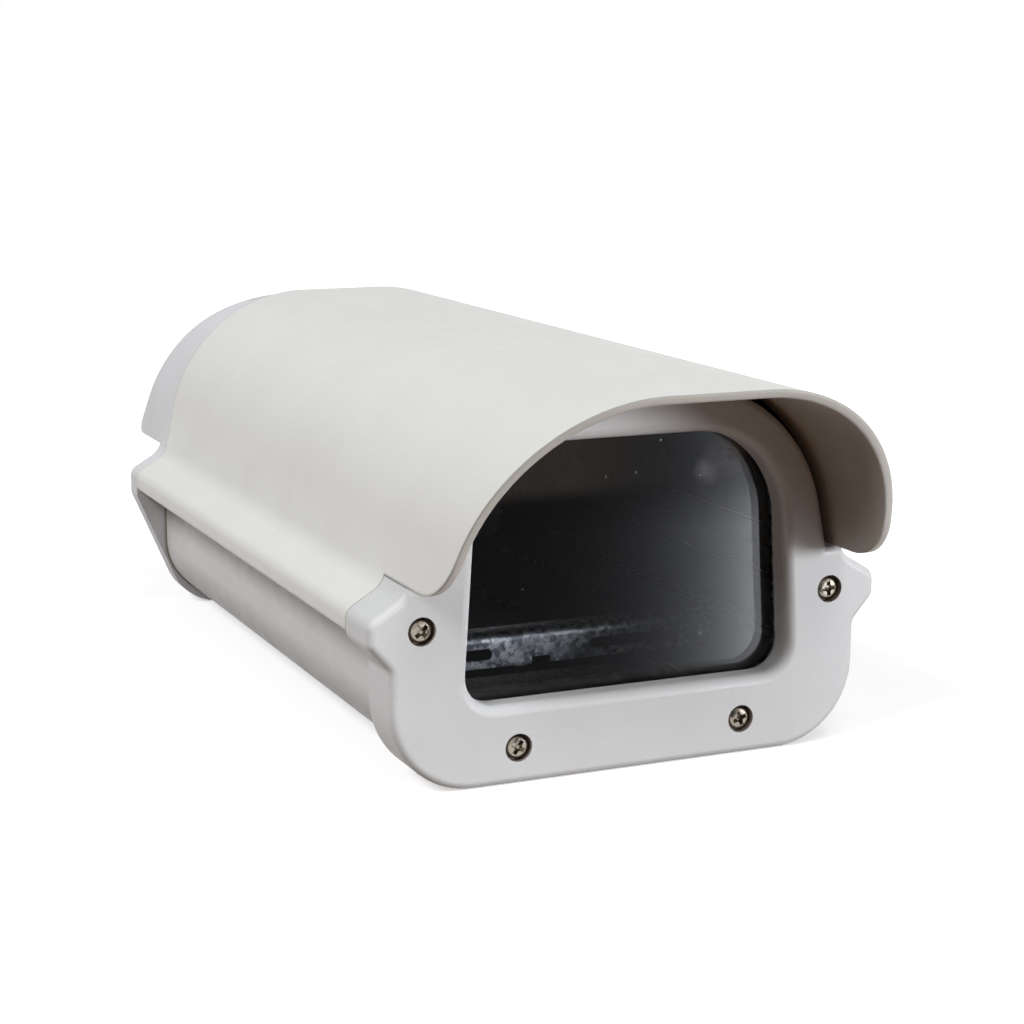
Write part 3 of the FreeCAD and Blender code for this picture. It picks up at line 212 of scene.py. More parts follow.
# Phosphate leaves a dark grey, almost matt skin. The rivets are brighter and only a little dull.
phosphated = bare_metal(
    "phosphated steel strip", "#3E3C39", scratch_mm=0.7, smooth=0.5, rough=0.65)
rivet_aluminium = bare_metal(
    "aluminium of the rivets", "#C2C3C4", scratch_mm=0.7, smooth=0.3, rough=0.45)
dress("bracket_plate", phosphated, 0.3)
for number in (1, 2):
    dress("plate_rivet_%d" % number, rivet_aluminium, 0.1, sharp_from=50)


# Camera tray: galvanised sheet with bent flanges. It slides in the lower shell's grooves, and
# its deck has three long slots for the camera's screw.

def zinc_sheet(name, light, dark, crystal_mm):
    """Galvanised steel: zinc has frozen in small flat crystals that blur into grey mottling.

    The crystals are drawn coarser than on fine spangle, so that they show behind the glass.
    """
    frost_mm, ragged_mm, shift_mm = 0.5, 1.5, 2.0
    finish, tree, place = new_finish(name)
    ragged = add(tree, "TexNoise", "Color", {
        "Vector": place, "Scale": 1 / (ragged_mm * MM), "Detail": 3.0})
    shift = add(tree, "VectorMath", "Vector", {
        "Vector": ragged, "Scale": shift_mm * MM}, operation="SCALE")
    loose = add(tree, "VectorMath", "Vector", [place, shift], operation="ADD")
    crystals = add(tree, "TexVoronoi", "Color", {
        "Vector": loose, "Scale": 1 / (crystal_mm * MM), "Smoothness": 0.6}, feature="SMOOTH_F1")
    tone = add(tree, "SeparateColor", "Red", [crystals])
    sheen = add(tree, "SeparateColor", "Green", [crystals])
    frost = add(tree, "TexNoise", "Fac", {
        "Vector": place, "Scale": 1 / (frost_mm * MM), "Detail": 3.0})
    metal = add(tree, "Mix", "Result_Color", {
        "Factor_Float": add(tree, "MapRange", "Result", [tone, 0.15, 0.85, 0.0, 1.0]),
        "A_Color": linear(dark), "B_Color": linear(light)}, data_type="RGBA")
    dull = add(tree, "Mix", "Result_Color", {
        "Factor_Float": add(tree, "MapRange", "Result", [frost, *MOTTLE, 0.0, 0.7]),
        "A_Color": metal, "B_Color": linear("#5C6067")}, data_type="RGBA")
    surface = add(tree, "BsdfPrincipled", "BSDF", {
        "Base Color": dull, "Metallic": 1.0,
        "Roughness": add(tree, "MapRange", "Result", [sheen, 0.0, 1.0, 0.32, 0.5]),
        "Normal": add(tree, "Bump", "Normal", {
            "Height": frost, "Distance": 0.012 * MM, "Strength": 1.0})})
    add(tree, "OutputMaterial", inputs=[surface])
    return finish


tray_zinc = zinc_sheet("galvanised sheet of the tray", "#B9BCC4", "#595D66", crystal_mm=1.4)
dress("camera_tray", tray_zinc, 0.3)


# Insulating pad: a black sheet of fish paper, cut to the tray's slots. It lies loose on the
# tray and keeps the camera's body off the metal.

def moulded(name, colour, pale, grain_mm, depth_mm, rough, ior=1.5):
    """Moulded or pressed goods: one colour through, paler where dust lies, and the tool's
    fine texture, which keeps the shine low."""
    dust_mm, uneven = 9.0, 0.07
    finish, tree, place = new_finish(name)
    texture = add(tree, "TexNoise", "Fac", {
        "Vector": place, "Scale": 1 / (grain_mm * MM), "Detail": 3.0})
    dust = add(tree, "TexNoise", "Fac", {
        "Vector": place, "Scale": 1 / (dust_mm * MM), "Detail": 3.0})
    tone = add(tree, "Mix", "Result_Color", {
        "Factor_Float": add(tree, "MapRange", "Result", [dust, *MOTTLE, 0.0, 0.25]),
        "A_Color": linear(colour), "B_Color": linear(pale)}, data_type="RGBA")
    gloss = [texture, *MOTTLE, rough - uneven, rough + uneven]
    surface = add(tree, "BsdfPrincipled", "BSDF", {
        "Base Color": tone, "IOR": ior, "Roughness": add(tree, "MapRange", "Result", gloss),
        "Normal": add(tree, "Bump", "Normal", {
            "Height": texture, "Distance": depth_mm * MM, "Strength": 1.0})})
    add(tree, "OutputMaterial", inputs=[surface])
    return finish


# Pressed paper: nearly black and slightly fibrous.
fish_paper = moulded(
    "black fish paper", "#1C1C1D", "#2E2D2C", grain_mm=0.5, depth_mm=0.02, rough=0.6)
# The pad covers the tray's whole deck. It is a real part, and its near black there also serves as
# painted shade on the deck behind the tray's flange.
dress("camera_pad", fish_paper, 0.1)


# Camera screw and washer: a nickel-plated quarter inch screw with a knurled head and a coin slot,
# pushed up through the tray and the pad.

def take_up(piece):
    """Only this piece is selected and active."""
    bpy.ops.object.select_all(action="DESELECT")
    piece.select_set(True)
    bpy.context.view_layer.objects.active = piece


def pick(piece, wanted):
    """Selects in edit mode the faces that the test names by their middle and normal."""
    take_up(piece)
    bpy.ops.object.mode_set(mode="EDIT")
    bpy.ops.mesh.select_mode(type="FACE")
    bpy.ops.mesh.select_all(action="DESELECT")
    bpy.ops.object.mode_set(mode="OBJECT")
    for face in piece.data.polygons:
        face.select = bool(wanted(face.center, face.normal))
    bpy.ops.object.mode_set(mode="EDIT")


def push(offset, scale=(1.0, 1.0, 1.0)):
    """Extrudes the picked face along an offset and narrows its end towards the Y axis."""
    bpy.ops.mesh.extrude_region_move(TRANSFORM_OT_translate={"value": offset})
    bpy.ops.transform.resize(value=scale, center_override=(0.0, 0.0, 0.0))


def leave():
    bpy.ops.object.mode_set(mode="OBJECT")


def settle(piece, name, sharp_from):
    """Place goes into the mesh, normals point outwards, and curved faces shine smoothly."""
    take_up(piece)
    bpy.ops.object.transform_apply(location=True, rotation=True, scale=True)
    bpy.ops.object.mode_set(mode="EDIT")
    bpy.ops.mesh.select_all(action="SELECT")
    bpy.ops.mesh.remove_doubles(threshold=0.0005 * MM)
    bpy.ops.mesh.normals_make_consistent(inside=False)
    leave()
    bpy.ops.object.shade_smooth_by_angle(angle=math.radians(sharp_from))
    piece.name = piece.data.name = name
    return piece


def round_bar(radius, low, high, sides, finish):
    """Bar along Y from low to high, closed at both ends."""
    bpy.ops.mesh.primitive_cylinder_add(
        vertices=sides, radius=radius, depth=high - low,
        location=(0, (low + high) / 2, 0), rotation=(math.pi / 2, 0, 0))
    bar = bpy.context.active_object
    bpy.ops.object.transform_apply(location=True, rotation=True, scale=True)
    bar.data.materials.append(finish)
    return bar


def thread_ridge(radius, pitch, start, turns, finish):
    """The raised helix of a thread round the Y axis, its foot sunk in the core."""
    depth, corners_per_turn = 0.44 * pitch, 16
    bpy.ops.mesh.primitive_circle_add(
        vertices=3, radius=depth, location=(radius - depth, start, 0),
        rotation=(0, 0, -math.pi / 2))
    ridge = bpy.context.active_object
    bpy.ops.object.transform_apply(location=True, rotation=True, scale=True)
    wind = ridge.modifiers.new("helix", "SCREW")
    wind.axis = "Y"
    wind.screw_offset = pitch
    wind.iterations = turns
    wind.steps = wind.render_steps = corners_per_turn
    bpy.ops.object.modifier_apply(modifier=wind.name)
    bpy.ops.object.mode_set(mode="EDIT")
    bpy.ops.mesh.select_all(action="SELECT")
    bpy.ops.mesh.fill_holes(sides=3)
    leave()
    ridge.data.materials.append(finish)
    return ridge


def join(piece, ridge):
    """The bar and its thread become one mesh."""
    take_up(piece)
    ridge.select_set(True)
    bpy.ops.object.join()
    return piece


def cut_away(piece, tool):
    """Takes the tool's shape out of the piece."""
    take_up(piece)
    cut = piece.modifiers.new("recess", "BOOLEAN")
    cut.operation = "DIFFERENCE"
    cut.solver = "EXACT"
    cut.object = tool
    bpy.ops.object.modifier_apply(modifier=cut.name)
    bpy.data.objects.remove(tool)


def stand_in(piece, body, node):
    """The modelled screw shows in place of the plain one of the frame."""
    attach(piece, body)
    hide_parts(node)


def knurled_screw(finish):
    """Screw along Y: the head's seat at y 0, the head towards -Y and the shank towards +Y."""
    head, head_height, edge = 8.0 * MM, 5.0 * MM, 0.6 * MM
    ribs, rib_gap, rib_depth = 72, 0.12 * MM, 0.22 * MM
    rim, dish, dish_depth = 0.3 * MM, 3.2 * MM, 0.4 * MM
    coin_slot = (11 * MM, 2.6 * MM, 1.6 * MM)
    core, rise, tip, point = 2.75 * MM, 9.3 * MM, 0.8 * MM, (0.8, 1.0, 0.8)
    thread, pitch, thread_start, turns = 3.15 * MM, 1.27 * MM, 1.6 * MM, 5
    bar = round_bar(head - edge, -head_height, 0.0, sides=ribs, finish=finish)
    pick(bar, lambda centre, normal: normal.y < -0.9)
    bpy.ops.mesh.inset(thickness=rim)
    bpy.ops.mesh.inset(thickness=dish, depth=-dish_depth)
    leave()
    pick(bar, lambda centre, normal: abs(normal.y) < 0.1)
    bpy.ops.mesh.inset(thickness=0.0, depth=edge)
    bpy.ops.mesh.inset(thickness=rib_gap, use_individual=True, depth=-rib_depth)
    leave()
    pick(bar, lambda centre, normal: normal.y > 0.9)
    bpy.ops.mesh.inset(thickness=head - edge - core)
    push((0, rise - tip, 0))
    push((0, tip, 0), point)
    leave()
    bpy.ops.mesh.primitive_cube_add(size=1, location=(0, -head_height, 0), scale=coin_slot)
    cut_away(bar, bpy.context.active_object)
    screw = join(bar, thread_ridge(thread, pitch, thread_start, turns, finish))
    low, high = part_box("camera_screw")
    screw.rotation_euler = (math.pi / 2, 0, 0)
    screw.location = ((low.x + high.x) / 2, (low.y + high.y) / 2, low.z + head_height)
    return settle(screw, "knurled_camera_screw", sharp_from=30)


# Nickel plate: warm and bright, with soft highlights where the plating is a little brushed.
nickel = bare_metal("nickel-plated steel", "#958E82", scratch_mm=0.35, smooth=0.16, rough=0.28)
stand_in(knurled_screw(nickel), "tray", "camera_screw")
dress("camera_washer", nickel, 0.1)


# End gaskets: flat brown rubber rings between the shells and the two covers. Only their outer
# edge shows, as the dark line in front of the rear cap.

# Sheet rubber: matt, and pale with chalk where it has weathered.
brown_rubber = moulded(
    "brown sheet rubber", "#6C6557", "#857E70", grain_mm=0.8, depth_mm=0.03, rough=0.8)
for node in ("front_gasket", "rear_gasket"):
    dress(node, brown_rubber, 0.15)


# Upper shell: one aluminium extrusion with hollow flares and rounded ears, hooked under the lower
# shell's ledge. Its front is sawn at a slant to make the hood. Warm white powder coat.

def hood_painted_shade(tree, place, skin):
    """Painted shade: the slanted saw cut, which faces forwards, is multiplied a little darker,
    and the walls behind it, which face inwards, a little darker and browner."""
    cut_facing, wall_facing = -0.65, -0.4
    forwards = add(tree, "SeparateXYZ", "Y", [add(tree, "TexCoord", "Normal")])
    rim = add(tree, "MapRange", "Result", [forwards, cut_facing, wall_facing, 1.0, 0.0])
    # Painted shade on the forward-facing saw cut.
    rim_shaded = add(tree, "Mix", "Result_Color", {
        "Factor_Float": rim, "A_Color": skin, "B_Color": linear("#E3E0DC")},
        data_type="RGBA", blend_type="MULTIPLY")
    wall = add(tree, "Math", "Value", [1.0, rim], operation="SUBTRACT")
    under = add(tree, "Math", "Value", [turned_in(tree, place), wall], operation="MULTIPLY")
    # Painted shade, a little brown, on the inward-facing walls.
    return add(tree, "Mix", "Result_Color", {
        "Factor_Float": under, "A_Color": rim_shaded, "B_Color": linear("#DFD8D0")},
        data_type="RGBA", blend_type="MULTIPLY")


# The powder lies thick in the creases of the extrusion, so the light turns softly there.
# This finish paints shade on the saw cut, on the hood's inside and on the inside walls.
upper_paint = powder_coat("warm white powder coat", "#E2E3E0", hood_painted_shade, edge_mm=1.2)
dress("upper_shell", upper_paint, 0.35)


# Front bezel: a die-cast frame with a cool white sprayed coat, finer and a little bluer than the
# powder on the shells. The pockets round its screws are painted brown as shade.

def sprayed_cast(name, colour, prefix, face):
    """Sprayed casting: a bluish white that stays even, with the fine grain of blasted metal below
    it, and brown painted shade on the sunk pocket walls round each screw."""
    cloud_mm, sand_mm, swell_mm = 18.0, 0.45, 2.2
    pocket, pocket_rim, face_skin = 3.4 * MM, 3.62 * MM, 0.15 * MM
    finish, tree, place = new_finish(name)
    cloud = add(tree, "TexNoise", "Fac", {"Vector": place, "Scale": 1 / (cloud_mm * MM)})
    sand = add(tree, "TexNoise", "Fac", {"Vector": place, "Scale": 1 / (sand_mm * MM)})
    swell = add(tree, "TexNoise", "Fac", {"Vector": place, "Scale": 1 / (swell_mm * MM)})
    tone = add(tree, "Mix", "Result_Color", {
        "Factor_Float": add(tree, "MapRange", "Result", [cloud, *MOTTLE, 0.0, 0.35]),
        "A_Color": linear(colour), "B_Color": linear("#C9C9CB")}, data_type="RGBA")
    speck = add(tree, "Mix", "Result_Color", {
        "Factor_Float": add(tree, "MapRange", "Result", [sand, *MOTTLE, 0.0, 0.12]),
        "A_Color": tone, "B_Color": linear("#8F9298")}, data_type="RGBA")
    wide = add(tree, "Math", "Value", [add(tree, "SeparateXYZ", "X", [place])],
               operation="ABSOLUTE")
    across = add(tree, "CombineXYZ", "Vector", {
        "X": wide, "Z": add(tree, "SeparateXYZ", "Z", [place])})
    # The four screws lie in mirrored pairs, so one of each pair stands for both sides.
    nearest = 1.0
    for number in (2, 4):
        low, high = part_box("%s_screw_%d" % (prefix, number))
        spot = (abs(low.x + high.x) / 2, 0.0, (low.z + high.z) / 2)
        gap = add(tree, "VectorMath", "Value", [across, spot], operation="DISTANCE")
        nearest = add(tree, "Math", "Value", [nearest, gap], operation="MINIMUM")
    ring = add(tree, "MapRange", "Result", [nearest, pocket, pocket_rim, 1.0, 0.0],
               interpolation_type="SMOOTHSTEP")
    depth = add(tree, "SeparateXYZ", "Y", [place])
    flush = add(tree, "Math", "Value", [depth, face, face_skin], operation="COMPARE")
    sunk = add(tree, "Math", "Value", [ring, flush], operation="SUBTRACT", use_clamp=True)
    # Painted shade: the sunk pocket walls round the screws are turned brown.
    pocket_shade = add(tree, "Mix", "Result_Color", {
        "Factor_Float": add(tree, "Math", "Value", [sunk, 0.85], operation="MULTIPLY"),
        "A_Color": speck, "B_Color": linear("#6E5540")}, data_type="RGBA")
    fine = add(tree, "Bump", "Normal", {
        "Height": sand, "Distance": 0.01 * MM, "Strength": 1.0})
    surface = add(tree, "BsdfPrincipled", "BSDF", {
        "Base Color": pocket_shade, "IOR": 1.5,
        "Roughness": add(tree, "MapRange", "Result", [sand, *MOTTLE, 0.42, 0.54]),
        "Normal": add(tree, "Bump", "Normal", {
            "Height": swell, "Distance": 0.02 * MM, "Strength": 1.0, "Normal": fine})})
    add(tree, "OutputMaterial", inputs=[surface])
    return finish


bezel_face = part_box("front_bezel")[0].y
bezel_paint = sprayed_cast("cool white sprayed casting", "#D6D8D9", "bezel", bezel_face)
dress("front_bezel", bezel_paint, 0.2)


# Window: a pane of clear float glass in a black rubber seal. Fingers have left two smudges near
# its upper corner, and a few specks of dust stick to it.

def pane_glass():
    """Float glass: sharp reflections and hardly any body colour. Where it is dusty it turns
    milky and catches the light."""
    smudges = [(28.5, 74.0, 6.0, 1.1), (23.5, 70.5, 4.5, 0.8)]
    specks = [(10.2, 78.6, 0.45, 1.6), (3.7, 71.2, 0.4, 0.5), (21.2, 69.2, 0.5, 0.8),
              (-4.3, 70.7, 0.4, 0.35), (17.7, 52.7, 0.4, 0.4), (22.2, 29.7, 0.6, 0.45),
              (-25.8, 45.2, 0.35, 0.25)]
    wipe_mm = 3.5
    finish, tree, place = new_finish("clear float glass")
    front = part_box("window_glass")[0].y
    smear = add(tree, "TexNoise", "Fac", {"Vector": place, "Scale": 1 / (wipe_mm * MM)})
    wiped = add(tree, "MapRange", "Result", [smear, *MOTTLE, 0.3, 1.0])
    dust = 0.0
    for mark in smudges + specks:
        across, up, radius_mm, weight = mark
        spot = (across * MM, front, up * MM)
        gap = add(tree, "VectorMath", "Value", [place, spot], operation="DISTANCE")
        film = add(tree, "MapRange", "Result", [gap, 0.0, radius_mm * MM, weight, 0.0])
        if mark in smudges:
            film = add(tree, "Math", "Value", [film, wiped], operation="MULTIPLY")
        dust = add(tree, "Math", "Value", [dust, film], operation="MAXIMUM")
    milky = add(tree, "Mix", "Result_Color", {
        "Factor_Float": dust, "A_Color": linear("#FBFCFC"), "B_Color": linear("#C4D2F5")},
        data_type="RGBA")
    glass = add(tree, "BsdfPrincipled", "BSDF", {
        "Base Color": milky, "IOR": 1.5,
        "Roughness": add(tree, "MapRange", "Result", [dust, 0.0, 1.0, 0.0, 0.35]),
        "Transmission Weight": add(tree, "MapRange", "Result", [dust, 0.0, 1.0, 1.0, 0.5])})
    # Light for the inside passes straight through, as it does through a flat pane.
    passing = add(tree, "LightPath", "Is Shadow Ray")
    clear = add(tree, "BsdfTransparent", "BSDF", [linear("#EEEFEF")])
    surface = add(tree, "MixShader", "Shader", [passing, glass, clear])
    add(tree, "OutputMaterial", inputs=[surface])
    return finish


# Seal rubber: black, matt and a little dusty.
black_rubber = moulded(
    "black rubber", "#2B2A28", "#3A3936", grain_mm=0.6, depth_mm=0.02, rough=0.7)
dress("window_glass", pane_glass(), 0.3)
dress("window_gasket", black_rubber, 0.1)


# Window retainer: a ring of galvanised sheet with four lugs. Small screws pull it against the
# glass from behind.

dress("window_retainer", tray_zinc, 0.12)


# Pan head screws: cross recess, domed head and rolled thread, in bright nickel. Four hold the
# retainer, four the bezel and four the rear cap.

def recess_shade_finish():
    """Painted shade for the cross recess: dark brown and quite dull."""
    mottle_mm = 0.3
    finish, tree, place = new_finish("painted shade in the screw recess")
    recess_mottle = add(tree, "TexNoise", "Fac", {
        "Vector": place, "Scale": 1 / (mottle_mm * MM), "Detail": 3.0})
    brown = add(tree, "Mix", "Result_Color", {
        "Factor_Float": recess_mottle, "A_Color": linear("#0B0705"), "B_Color": linear("#20160E")},
        data_type="RGBA")
    surface = add(tree, "BsdfPrincipled", "BSDF", {
        "Base Color": brown, "Roughness": 0.85, "IOR": 1.4,
        "Normal": add(tree, "Bump", "Normal", {
            "Height": recess_mottle, "Distance": 0.02 * MM, "Strength": 1.0})})
    add(tree, "OutputMaterial", inputs=[surface])
    return finish


# The cross recesses of all screws are painted near black as shade.
recess_painted_shade = recess_shade_finish()


def recess_wing(reach, half, depth, top):
    """Tapered blade that one wing of the driver has pressed into the head."""
    above, taper = 0.4 * MM, (0.52, 1.0, 0.6)
    bpy.ops.mesh.primitive_cube_add(
        size=1, location=(0, top + (depth - above) / 2, 0),
        scale=(2 * reach, depth + above, 2 * half))
    wing = bpy.context.active_object
    bpy.ops.object.transform_apply(location=True, rotation=True, scale=True)
    pick(wing, lambda centre, normal: normal.y > 0.9)
    bpy.ops.transform.resize(value=taper, center_override=(0, 0, 0))
    leave()
    wing.data.materials.append(recess_painted_shade)
    return wing


def pan_screw(shank, head, height, length, pitch, turns):
    """Screw along Y: the head's seat at y 0, the head towards -Y and the shank towards +Y."""
    core, tip, point, runout = shank - 0.36 * pitch, 0.4 * MM, (0.7, 1.0, 0.7), 0.6
    side_height, flat_top = 0.42, 0.48
    arm, half, deep = 0.7 * head, 0.2 * head, 0.7 * height
    pit, pit_tip, pit_depth, pit_middle = 0.36 * head, 0.1 * head, 1.15 * deep, 0.52 * deep
    screw = round_bar(head, -side_height * height, 0.0, sides=48, finish=nickel)
    pick(screw, lambda centre, normal: normal.y < -0.9)
    reach, rise = 1.0, side_height
    for angle in (18, 36, 54, 72, 90):
        turn = math.radians(angle)
        wide = flat_top + (1 - flat_top) * math.cos(turn)
        high = side_height + (1 - side_height) * math.sin(turn)
        push((0, -(high - rise) * height, 0), (wide / reach, 1.0, wide / reach))
        reach, rise = wide, high
    leave()
    pick(screw, lambda centre, normal: normal.y > 0.9)
    bpy.ops.mesh.inset(thickness=head - core)
    push((0, length - tip, 0))
    push((0, tip, 0), point)
    leave()
    for turned in (0.0, math.pi / 2):
        wing = recess_wing(arm, half, deep, -height)
        wing.rotation_euler = (0, turned, 0)
        cut_away(screw, wing)
    bpy.ops.mesh.primitive_cone_add(
        vertices=16, radius1=pit, radius2=pit_tip, depth=pit_depth,
        location=(0, pit_middle - height, 0), rotation=(-math.pi / 2, 0, 0))
    hollow = bpy.context.active_object
    hollow.data.materials.append(recess_painted_shade)
    cut_away(screw, hollow)
    ridge = thread_ridge(shank, pitch, length - (turns + runout) * pitch, turns, nickel)
    return settle(join(screw, ridge), "pan_screw", sharp_from=35)


def place_screws(pattern, prefix, rearwards, first_turn):
    """Copies of the pattern screw at the frame's screws, each stopped at its own angle. The
    heads face forwards, or rearwards on the pieces that are fixed from behind."""
    head_height, turn_between = -min(vertex.co.y for vertex in pattern.data.vertices), 37
    for number in (1, 2, 3, 4):
        node = "%s_screw_%d" % (prefix, number)
        low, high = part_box(node)
        seat = high.y - head_height if rearwards else low.y + head_height
        centre = Vector(((low.x + high.x) / 2, seat, (low.z + high.z) / 2))
        flip = Matrix.Rotation(math.pi if rearwards else 0.0, 4, "Z")
        spin = Matrix.Rotation(math.radians(first_turn + turn_between * number), 4, "Y")
        copy = pattern.copy()
        copy.data = pattern.data.copy()
        copy.data.transform(Matrix.Translation(centre) @ flip @ spin)
        copy.name = copy.data.name = "pan_head_%s_%d" % (prefix, number)
        bpy.context.scene.collection.objects.link(copy)
        stand_in(copy, "housing", node)
    bpy.data.objects.remove(pattern)


bezel_screw = pan_screw(shank=1.5 * MM, head=2.95 * MM, height=2.2 * MM, length=22.4 * MM,
                        pitch=0.5 * MM, turns=24)
place_screws(bezel_screw, "bezel", rearwards=False, first_turn=12)
cap_screw = pan_screw(shank=1.5 * MM, head=2.95 * MM, height=2.2 * MM, length=16.5 * MM,
                      pitch=0.5 * MM, turns=22)
place_screws(cap_screw, "cap", rearwards=True, first_turn=50)
small_screw = pan_screw(shank=1.25 * MM, head=2.3 * MM, height=1.6 * MM, length=5.0 * MM,
                        pitch=0.45 * MM, turns=8)
place_screws(small_screw, "retainer", rearwards=True, first_turn=5)


# Rear cap: the same casting as the bezel, with a panel for the cable glands and an arched collar
# that shades them. It shows bluish beside the warm shell.

cap_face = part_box("cap_screw_1")[1].y
# The cap's finish also paints brown shade in the pockets round its screws.
cap_paint = sprayed_cast("cool white sprayed rear casting", "#DDDEE2", "cap", cap_face)
dress("rear_cap", cap_paint, 0.3)


# Cable glands: washer, body, locknut and compression nut of dark moulded nylon, with a black
# rubber seal that grips the cable.

# Nylon: dark grey with a low, even shine. The seals are blacker and more matt.
nylon = moulded(
    "dark grey nylon", "#2A2B2D", "#3A3B3C", grain_mm=0.3, depth_mm=0.012, rough=0.48, ior=1.53)
seal_rubber = moulded(
    "black rubber of the seals", "#131313", "#1E1E1E", grain_mm=0.5, depth_mm=0.02, rough=0.62)
for number in (1, 2, 3):
    dress("gland_washer_%d" % number, black_rubber, 0.15)
    dress("gland_body_%d" % number, nylon, 0.5)
    dress("gland_locknut_%d" % number, nylon, 0.5)
    dress("gland_nut_%d" % number, nylon, 0.5)
    dress("gland_seal_%d" % number, seal_rubber, 0.15)


# Studio: a plain pale floor that shows white, soft lamps, and a dim card that only the window
# mirrors. Nothing here is part of the housing.

def seen_plainly(tree):
    """One for rays of the camera, of mirrors and of glass, unless a matt surface sent them."""
    mirrored = add(tree, "Math", "Value", [
        add(tree, "LightPath", "Is Glossy Ray"), add(tree, "LightPath", "Is Transmission Ray")],
        operation="MAXIMUM")
    straight = add(tree, "Math", "Value", [add(tree, "LightPath", "Is Camera Ray"), mirrored],
                   operation="MAXIMUM")
    first = add(tree, "Math", "Value", [add(tree, "LightPath", "Diffuse Depth"), 0.5],
                operation="LESS_THAN")
    return add(tree, "Math", "Value", [straight, first], operation="MULTIPLY")


def floor_paper():
    """Matt paper: it looks white, keeps the object's shadow, and throws little light back."""
    near, far, near_glow, far_glow = 0.3, 0.9, 0.55, 1.0
    finish, tree, place = new_finish("white floor paper")
    seen = seen_plainly(tree)
    colour = add(tree, "Mix", "Result_Color", {
        "Factor_Float": seen, "A_Color": linear("#634A35"), "B_Color": linear("#F2F2F2")},
        data_type="RGBA")
    away = add(tree, "VectorMath", "Value", [place], operation="LENGTH")
    glow = add(tree, "MapRange", "Result", [away, near, far, near_glow, far_glow],
               interpolation_type="SMOOTHSTEP")
    matt = add(tree, "BsdfDiffuse", "BSDF", [colour])
    lit = add(tree, "Emission", "Emission", {
        "Color": linear("#FFFFFF"),
        "Strength": add(tree, "Math", "Value", [seen, glow], operation="MULTIPLY")})
    surface = add(tree, "AddShader", "Shader", [matt, lit])
    add(tree, "OutputMaterial", inputs=[surface])
    return finish


def graded_paper():
    """What the window mirrors: darkness on the left that brightens in even steps of exposure to
    the right, and a warm tinge at the upper left."""
    first_stop, stop, first_glow, brightest, base = 65 * MM, 9.5 * MM, 2.05, 3.0, 0.08
    half_height, half_band, upper_part = 48 * MM, 6 * MM, 0.5
    tinge_height, tinge_band, tinge = 55 * MM, 2 * MM, 0.25
    tinge_full, tinge_gone = 15 * MM, 45 * MM
    finish, tree, place = new_finish("graded card")
    across = add(tree, "SeparateXYZ", "X", [place])
    up = add(tree, "SeparateXYZ", "Z", [place])
    stops = add(tree, "MapRange", "Result", [across, first_stop, first_stop + stop, 0.0, 1.0],
                clamp=False)
    power = add(tree, "Math", "Value", [2.0, stops], operation="POWER")
    glow = add(tree, "Math", "Value", [power, first_glow], operation="MULTIPLY")
    held = add(tree, "Math", "Value", [glow, brightest], operation="MINIMUM")
    upper = add(tree, "MapRange", "Result", [
        up, half_height - half_band, half_height + half_band, 1.0, upper_part])
    faded = add(tree, "Math", "Value", [held, upper], operation="MULTIPLY")
    cool = add(tree, "Emission", "Emission", {
        "Color": linear("#E9ECF4"),
        "Strength": add(tree, "Math", "Value", [faded, base], operation="ADD")})
    high = add(tree, "MapRange", "Result", [
        up, tinge_height - tinge_band, tinge_height + tinge_band, 0.0, tinge])
    left = add(tree, "MapRange", "Result", [across, tinge_full, tinge_gone, 1.0, 0.0])
    warm = add(tree, "Emission", "Emission", {
        "Color": linear("#FFE3D2"),
        "Strength": add(tree, "Math", "Value", [high, left], operation="MULTIPLY")})
    surface = add(tree, "AddShader", "Shader", [cool, warm])
    add(tree, "OutputMaterial", inputs=[surface])
    return finish


def soft_lamp(name, place, size, power, colour="#FFFFFF", target=(0.0, 0.0, 0.05)):
    """Square softbox that faces its target."""
    lamp = bpy.data.objects.new(name, bpy.data.lights.new(name, "AREA"))
    lamp.data.shape = "SQUARE"
    lamp.data.size = size
    lamp.data.energy = power
    lamp.data.color = linear(colour)[:3]
    lamp.location = place
    lamp.rotation_euler = (Vector(target) - Vector(place)).to_track_quat("-Z", "Y").to_euler()
    bpy.context.scene.collection.objects.link(lamp)


bpy.ops.mesh.primitive_plane_add(size=16.0, location=(0, 0, 0))
floor = bpy.context.active_object
floor.name = "studio_floor"
floor.data.materials.append(floor_paper())

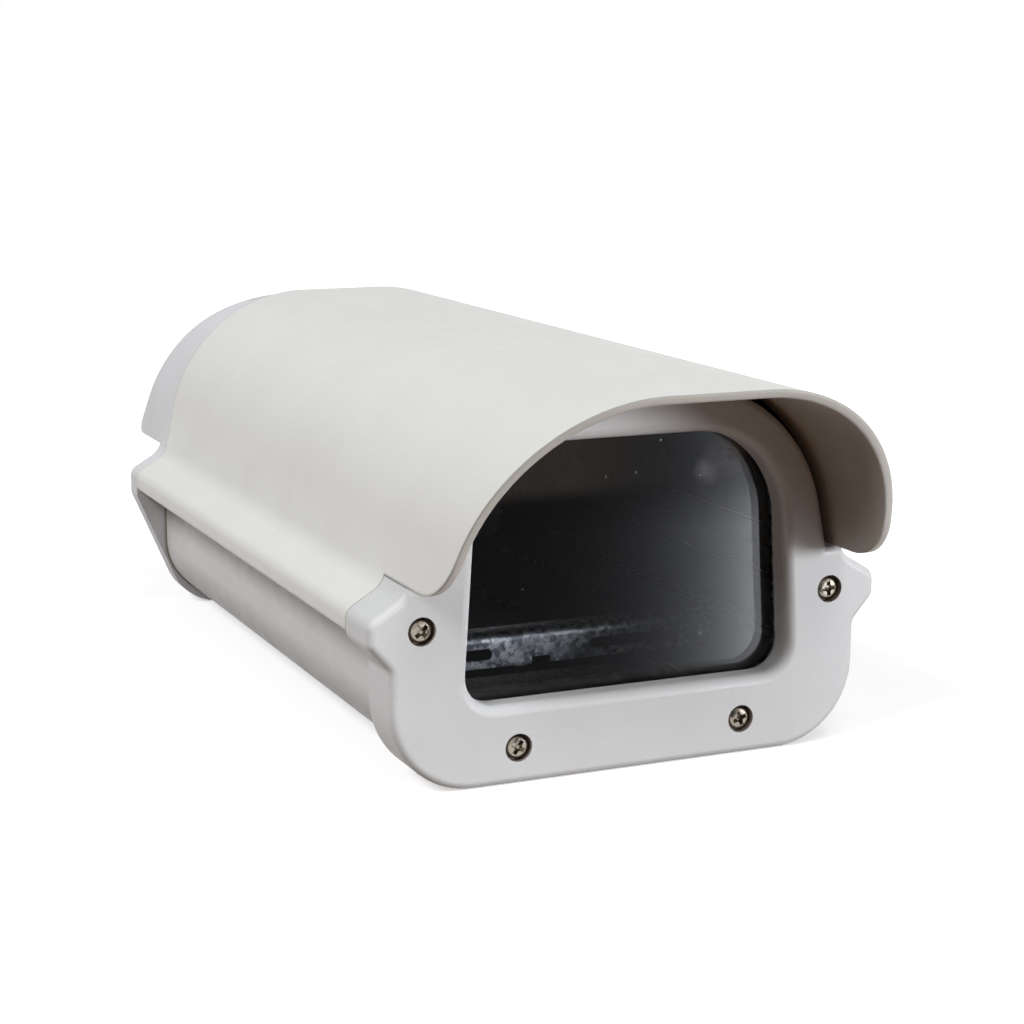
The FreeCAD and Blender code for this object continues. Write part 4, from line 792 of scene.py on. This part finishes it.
bpy.ops.mesh.primitive_plane_add(
    size=1.0, location=(0.041, -0.148, 0.037), rotation=(math.pi / 2, 0, 0))
card = bpy.context.active_object
card.name = "window_card"
card.scale = (0.136, 0.074, 1.0)
bpy.ops.object.transform_apply(location=True, rotation=True, scale=True)
card.data.materials.append(graded_paper())
card.visible_camera = False
card.visible_diffuse = False
card.visible_shadow = False

# The air is white to the camera and gives the object only a faint warm light of its own.
world = bpy.data.worlds.new("studio")
bpy.context.scene.world = world
world.use_nodes = True
sky = world.node_tree
sky.nodes.clear()
shown, light_on_object = seen_plainly(sky), 0.06
air = add(sky, "Background", "Background", {
    "Color": add(sky, "Mix", "Result_Color", {
        "Factor_Float": shown, "A_Color": linear("#FFFBF5"), "B_Color": linear("#FFFFFF")},
        data_type="RGBA"),
    "Strength": add(sky, "MapRange", "Result", [shown, 0.0, 1.0, light_on_object, 1.0])})
add(sky, "OutputWorld", inputs=[air])

soft_lamp("left softbox", place=(-2.4, -0.9, 2.15), size=1.2, power=76.0)
soft_lamp("low right lamp", place=(1.75, -2.15, 0.24), size=0.9, power=74.0, colour="#FBFCFF",
          target=(0.0, -0.1, 0.05))
soft_lamp("overhead softbox", place=(0.1, -0.7, 1.4), size=0.7, power=7.6)


# Camera: the photograph was taken from the left front and a little above the hood, with a long
# lens. Its place and turn were worked out from the housing's edges.

def view_camera():
    """Camera at the photograph's place, turned and tilted as it was."""
    place = Vector((-0.23661, -0.55731, 0.16787))
    azimuth, elevation, roll = (math.radians(angle) for angle in (-24.08, 11.51, 0.24))
    level = math.cos(elevation)
    back = Vector((math.sin(azimuth) * level, -math.cos(azimuth) * level, math.sin(elevation)))
    right = Vector((math.cos(azimuth), math.sin(azimuth), 0.0))
    tilted_right = right * math.cos(roll) + back.cross(right) * math.sin(roll)
    lens = bpy.data.cameras.new("photo camera")
    lens.lens = 78.27
    lens.sensor_width = 36.0
    lens.clip_start = 0.01
    camera = bpy.data.objects.new("photo camera", lens)
    turn = Matrix((tilted_right, back.cross(tilted_right), back)).transposed().to_4x4()
    camera.matrix_world = Matrix.Translation(place) @ turn
    bpy.context.scene.collection.objects.link(camera)
    return camera


bpy.context.scene.camera = view_camera()
bpy.context.scene.view_settings.view_transform = "Standard"
